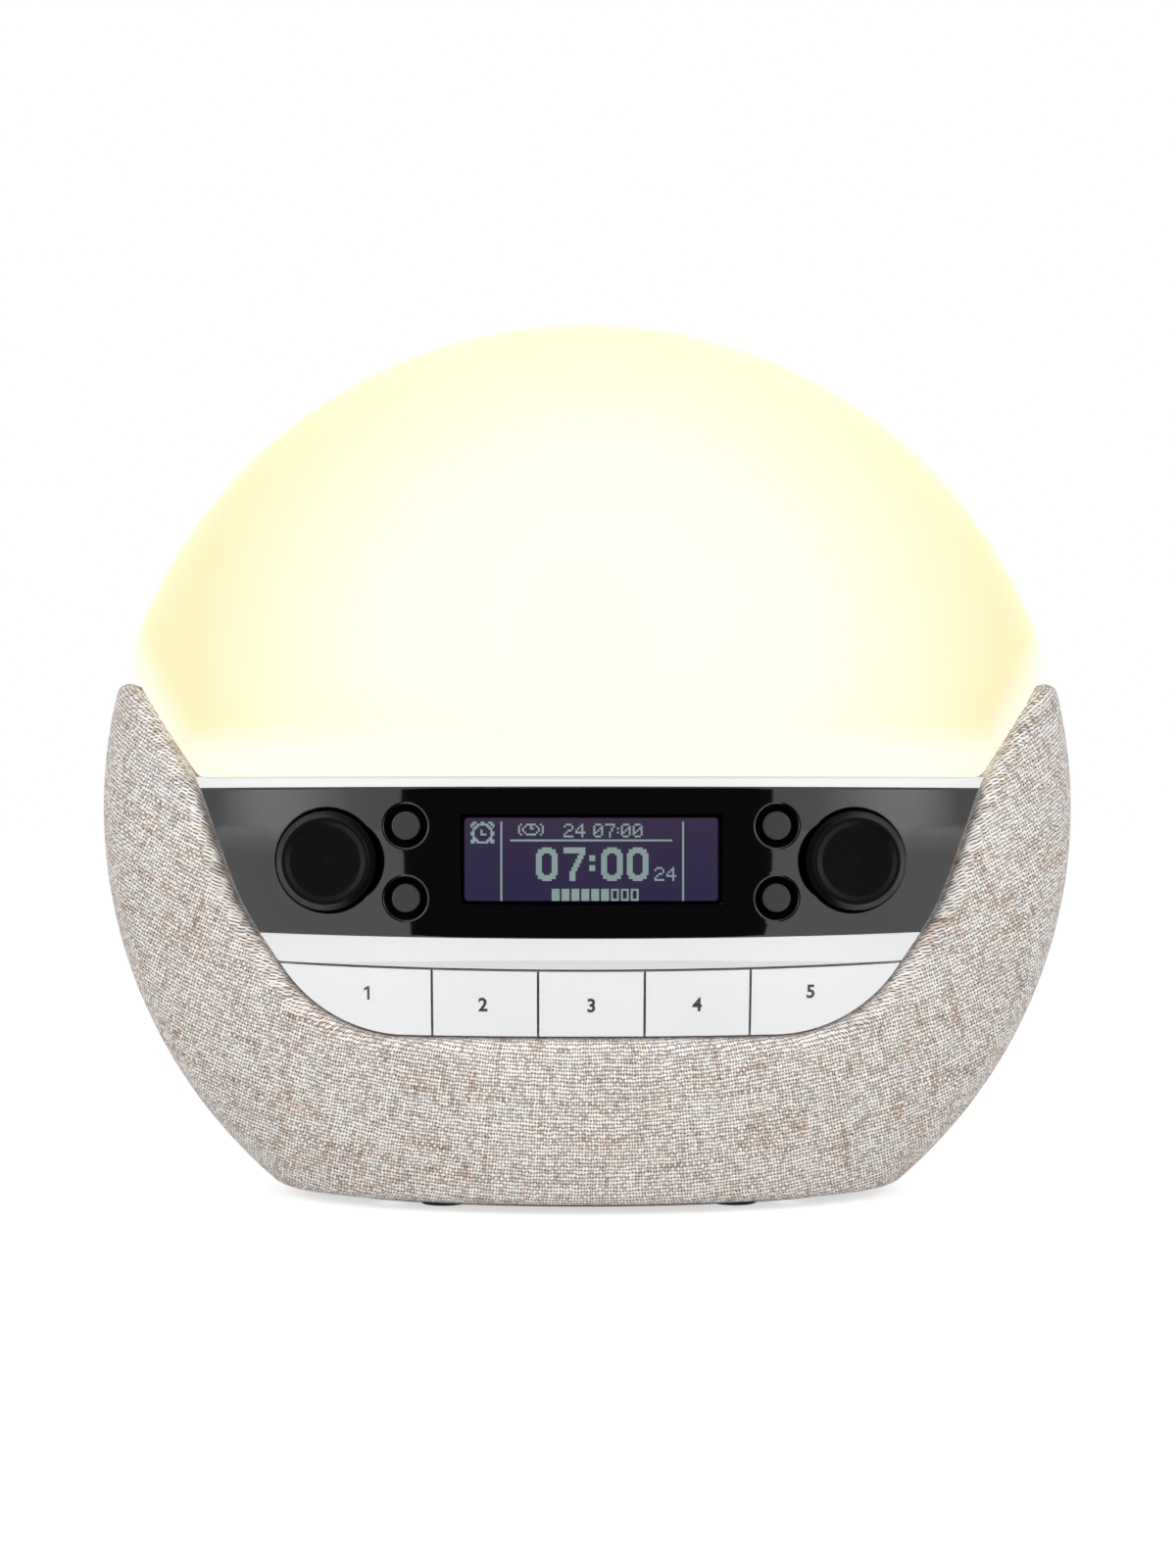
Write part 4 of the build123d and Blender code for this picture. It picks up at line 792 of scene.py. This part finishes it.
def lit_screen(front):
    """The display's lit area, a rectangle with rounded corners."""
    right, left = SCREEN_RIGHT - SCREEN_CORNER, SCREEN_LEFT + SCREEN_CORNER
    top, bottom = SCREEN_TOP - SCREEN_CORNER, SCREEN_BOTTOM + SCREEN_CORNER
    outline = []
    for turn, (x, z) in enumerate(((right, top), (left, top), (left, bottom), (right, bottom))):
        for step in range(CORNER_STEPS + 1):
            angle = (turn + step / CORNER_STEPS) * math.pi / 2
            across, up = x + SCREEN_CORNER * math.cos(angle), z + SCREEN_CORNER * math.sin(angle)
            outline.append((across, front - SCREEN_LIFT, up))
    mesh = bpy.data.meshes.new("lit_screen")
    mesh.from_pydata(outline, [], [tuple(reversed(range(len(outline))))])
    s = Shader("lit_screen", Base_Color=(0.01, 0.01, 0.014), Roughness=0.15, Emission_Strength=1.0)
    drift = s.math("MULTIPLY", s.math("SUBTRACT", s.noise(40.0, 1.0), 0.5), SCREEN_DRIFT)
    up = s.span(s.math("ADD", s.parts(s.place())["Z"], drift), SCREEN_BOTTOM, SCREEN_TOP)
    s.set(Emission_Color=s.ramp(up, *SCREEN_SHADES))
    add_piece("lit_screen", mesh, "housing", "display_glass", s.material)


def lit_cells(front):
    """The lit cells, a strip for each run along a row."""
    corners, faces = [], []
    for left, row, length in cell_runs(screen_cells()):
        x, z = SCREEN_LEFT + left * CELL, SCREEN_TOP - row * CELL
        base = len(corners)
        for dx, dz in ((0, 0), (0, -CELL), (length * CELL, -CELL), (length * CELL, 0)):
            corners.append((x + dx, front - CELL_LIFT, z + dz))
        faces.append((base, base + 1, base + 2, base + 3))
    mesh = bpy.data.meshes.new("screen_cells")
    mesh.from_pydata(corners, [], faces)
    s = Shader("screen_cells", Base_Color=(0.05, 0.06, 0.06), Roughness=0.4, Emission_Strength=1.0)
    s.set(Emission_Color=s.ramp(s.noise(120.0, 2.0), *CELL_SHADES))
    add_piece("screen_cells", mesh, "housing", "display_glass", s.material)


display_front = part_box("display_module")[0].y
lit_screen(display_front)
lit_cells(display_front)


# ---- Stage, lamps and camera ------------------------------------------------------------------------
FLOOR_REACH, FLOOR_GLOW = 6.0, 0.62
# The painted pool of light on the floor before each bright panel, as gloss shows it: middle, reach and
# brightest level
SPOT_MIDDLE, SPOT_REACH, SPOT_GLOW = (1.2, 0.85, 0), 0.85, 0.95
# The black card: its corners on the floor and the height of its upright half
CARD_NEAR, CARD_NEAR_HALF, CARD_LIFT = -62 * MM, 40 * MM, 0.5 * MM
CARD_FAR, CARD_FAR_HALF, CARD_HIGH = -1.26, 0.68, 1.4
# Each bright panel: its ends on the floor at the right, its height and its glow round a middle
PANEL_NEAR, PANEL_FAR, PANEL_HIGH = (0.69, -1.27), (1.8, -0.7), 1.3
PANEL_MIDDLE, PANEL_SCALE = (1.3, 0.15), (1 / 0.55, 0, 1 / 0.6)
PANEL_GLOW, PANEL_EDGE_GLOW, PANEL_COLOUR = 2.6, 1.1, (0.94, 0.98, 1.0)
WORLD_LIGHT = 0.5
SOFTBOX_PLACE, SOFTBOX_AIM, SOFTBOX_SIZE = (1.0, -1.1, 0.62), (0, 0, 0.1), (1.2, 1.1)
SOFTBOX_POWER, SOFTBOX_SPREAD = 2.25, math.radians(75)
PICTURE_HEIGHT, FOCAL_PIXELS, HORIZON_ROW = 1600, 2677, 812
CAMERA_PLACE = (-7.5 * MM, -600.0 * MM, 90.0 * MM)


def staged(name, corners, faces, material):
    """A piece of the stage, which isn't part of the object."""
    mesh = bpy.data.meshes.new(name)
    mesh.from_pydata(corners, [], faces)
    mesh.materials.append(material)
    piece = bpy.data.objects.new(name, mesh)
    bpy.context.collection.objects.link(piece)
    return piece


def seen_directly(tree):
    """1 for rays from the camera and through gloss or glass, 0 for light on the object."""
    path = tree.nodes.new("ShaderNodeLightPath")
    value = path.outputs["Is Camera Ray"]
    for other in ("Is Glossy Ray", "Is Transmission Ray"):
        larger = tree.nodes.new("ShaderNodeMath")
        larger.operation = "MAXIMUM"
        tree.links.new(value, larger.inputs[0])
        tree.links.new(path.outputs[other], larger.inputs[1])
        value = larger.outputs[0]
    return value


def floor():
    """Pale floor, shown white where nothing shades it. In gloss it is brighter before each bright panel: a
    painted pool of light, as if the panel lit it there."""
    s = Shader("floor", Base_Color=(0.8, 0.8, 0.8), Roughness=0.9, Specular_IOR_Level=0.0,
               Emission_Color=(1, 1, 1))
    quarter = s.node("VectorMath", 0, {0: s.place()}, operation="ABSOLUTE")
    painted_light_pool = s.span(s.distance(quarter, SPOT_MIDDLE), 0, SPOT_REACH, SPOT_GLOW, 0.0, "SMOOTHSTEP")
    # A painted pool of light, seen only in gloss
    in_gloss = s.math("MULTIPLY", s.node("LightPath", "Is Glossy Ray"), painted_light_pool)
    shown = s.math("MULTIPLY", seen_directly(s.tree), FLOOR_GLOW)
    s.set(Emission_Strength=s.math("ADD", shown, in_gloss))
    reach = FLOOR_REACH
    corners = [(-reach, -reach, 0), (reach, -reach, 0), (reach, reach, 0), (-reach, reach, 0)]
    staged("floor", corners, [(0, 1, 2, 3)], s.material)


def only_in_gloss(piece):
    """Hide a piece of the stage from the camera and keep it from lighting or shading the object."""
    piece.visible_camera = False
    piece.visible_diffuse = False
    piece.visible_volume_scatter = False
    piece.visible_shadow = False


def dark_card():
    """A black card on the floor and upright before the clock, seen only in gloss and through glass: it
    keeps the black fascia black, as a studio does."""
    corners = [
        (-CARD_NEAR_HALF, CARD_NEAR, CARD_LIFT), (CARD_NEAR_HALF, CARD_NEAR, CARD_LIFT),
        (CARD_FAR_HALF, CARD_FAR, CARD_LIFT), (-CARD_FAR_HALF, CARD_FAR, CARD_LIFT),
        (CARD_FAR_HALF, CARD_FAR, CARD_HIGH), (-CARD_FAR_HALF, CARD_FAR, CARD_HIGH),
    ]
    s = Shader("dark_card", Base_Color=(0.004, 0.004, 0.005), Roughness=1.0, Specular_IOR_Level=0.0)
    only_in_gloss(staged("dark_card", corners, [(0, 1, 2, 3), (3, 2, 4, 5)], s.material))


def bright_panel(side):
    """A large softly lit panel beside the dark card, seen only in gloss: the pale sheen on both ends of
    the fascia is its reflection."""
    near, far = ((side * x, y) for x, y in (PANEL_NEAR, PANEL_FAR))
    corners = [(*near, 0), (*far, 0), (*far, PANEL_HIGH), (*near, PANEL_HIGH)]
    s = Shader("bright_panel", Base_Color=(0.0, 0.0, 0.0), Roughness=1.0, Specular_IOR_Level=0.0,
               Emission_Color=PANEL_COLOUR)
    away = s.distance(s.place(), (side * PANEL_MIDDLE[0], 0, PANEL_MIDDLE[1]), PANEL_SCALE)
    s.set(Emission_Strength=s.span(away, 0, 1, PANEL_GLOW, PANEL_EDGE_GLOW, "SMOOTHSTEP"))
    only_in_gloss(staged("bright_panel", corners, [(0, 1, 2, 3)], s.material))


def studio():
    """White world: white to the camera and in reflections, a plain level of light on the object."""
    world = bpy.data.worlds.new("studio")
    bpy.context.scene.world = world
    world.use_nodes = True
    tree = world.node_tree
    tree.nodes.clear()
    output = tree.nodes.new("ShaderNodeOutputWorld")
    background = tree.nodes.new("ShaderNodeBackground")
    level = tree.nodes.new("ShaderNodeMapRange")
    tree.links.new(seen_directly(tree), level.inputs["Value"])
    level.inputs["To Min"].default_value = WORLD_LIGHT
    level.inputs["To Max"].default_value = 1.0
    tree.links.new(level.outputs[0], background.inputs["Strength"])
    background.inputs["Color"].default_value = (1, 1, 1, 1)
    tree.links.new(background.outputs[0], output.inputs["Surface"])


def softbox(side):
    """A large soft lamp before the clock on one side, which gloss doesn't show."""
    light = bpy.data.lights.new("softbox", "AREA")
    light.shape = "RECTANGLE"
    light.size, light.size_y = SOFTBOX_SIZE
    light.energy = SOFTBOX_POWER
    light.spread = SOFTBOX_SPREAD
    place = Vector((side * SOFTBOX_PLACE[0], *SOFTBOX_PLACE[1:]))
    holder = bpy.data.objects.new("softbox", light)
    holder.location = place
    holder.rotation_euler = (Vector(SOFTBOX_AIM) - place).to_track_quat("-Z", "Y").to_euler()
    holder.visible_glossy = False
    bpy.context.collection.objects.link(holder)


def camera():
    """Level camera about 600 mm away, at 90 mm above the floor, looking at the clock's middle."""
    data = bpy.data.cameras.new("camera")
    data.sensor_fit = "VERTICAL"
    data.sensor_height = 36.0
    data.lens = data.sensor_height * FOCAL_PIXELS / PICTURE_HEIGHT
    data.shift_y = HORIZON_ROW / PICTURE_HEIGHT - 0.5
    data.clip_start = 0.01
    holder = bpy.data.objects.new("camera", data)
    holder.location = CAMERA_PLACE
    holder.rotation_euler = (math.pi / 2, 0, math.atan2(CAMERA_PLACE[0], -CAMERA_PLACE[1]))
    bpy.context.collection.objects.link(holder)
    bpy.context.scene.camera = holder


floor()
dark_card()
studio()
for side in (-1, 1):
    bright_panel(side)
    softbox(side)
camera()
bpy.context.scene.view_settings.view_transform = "Standard"
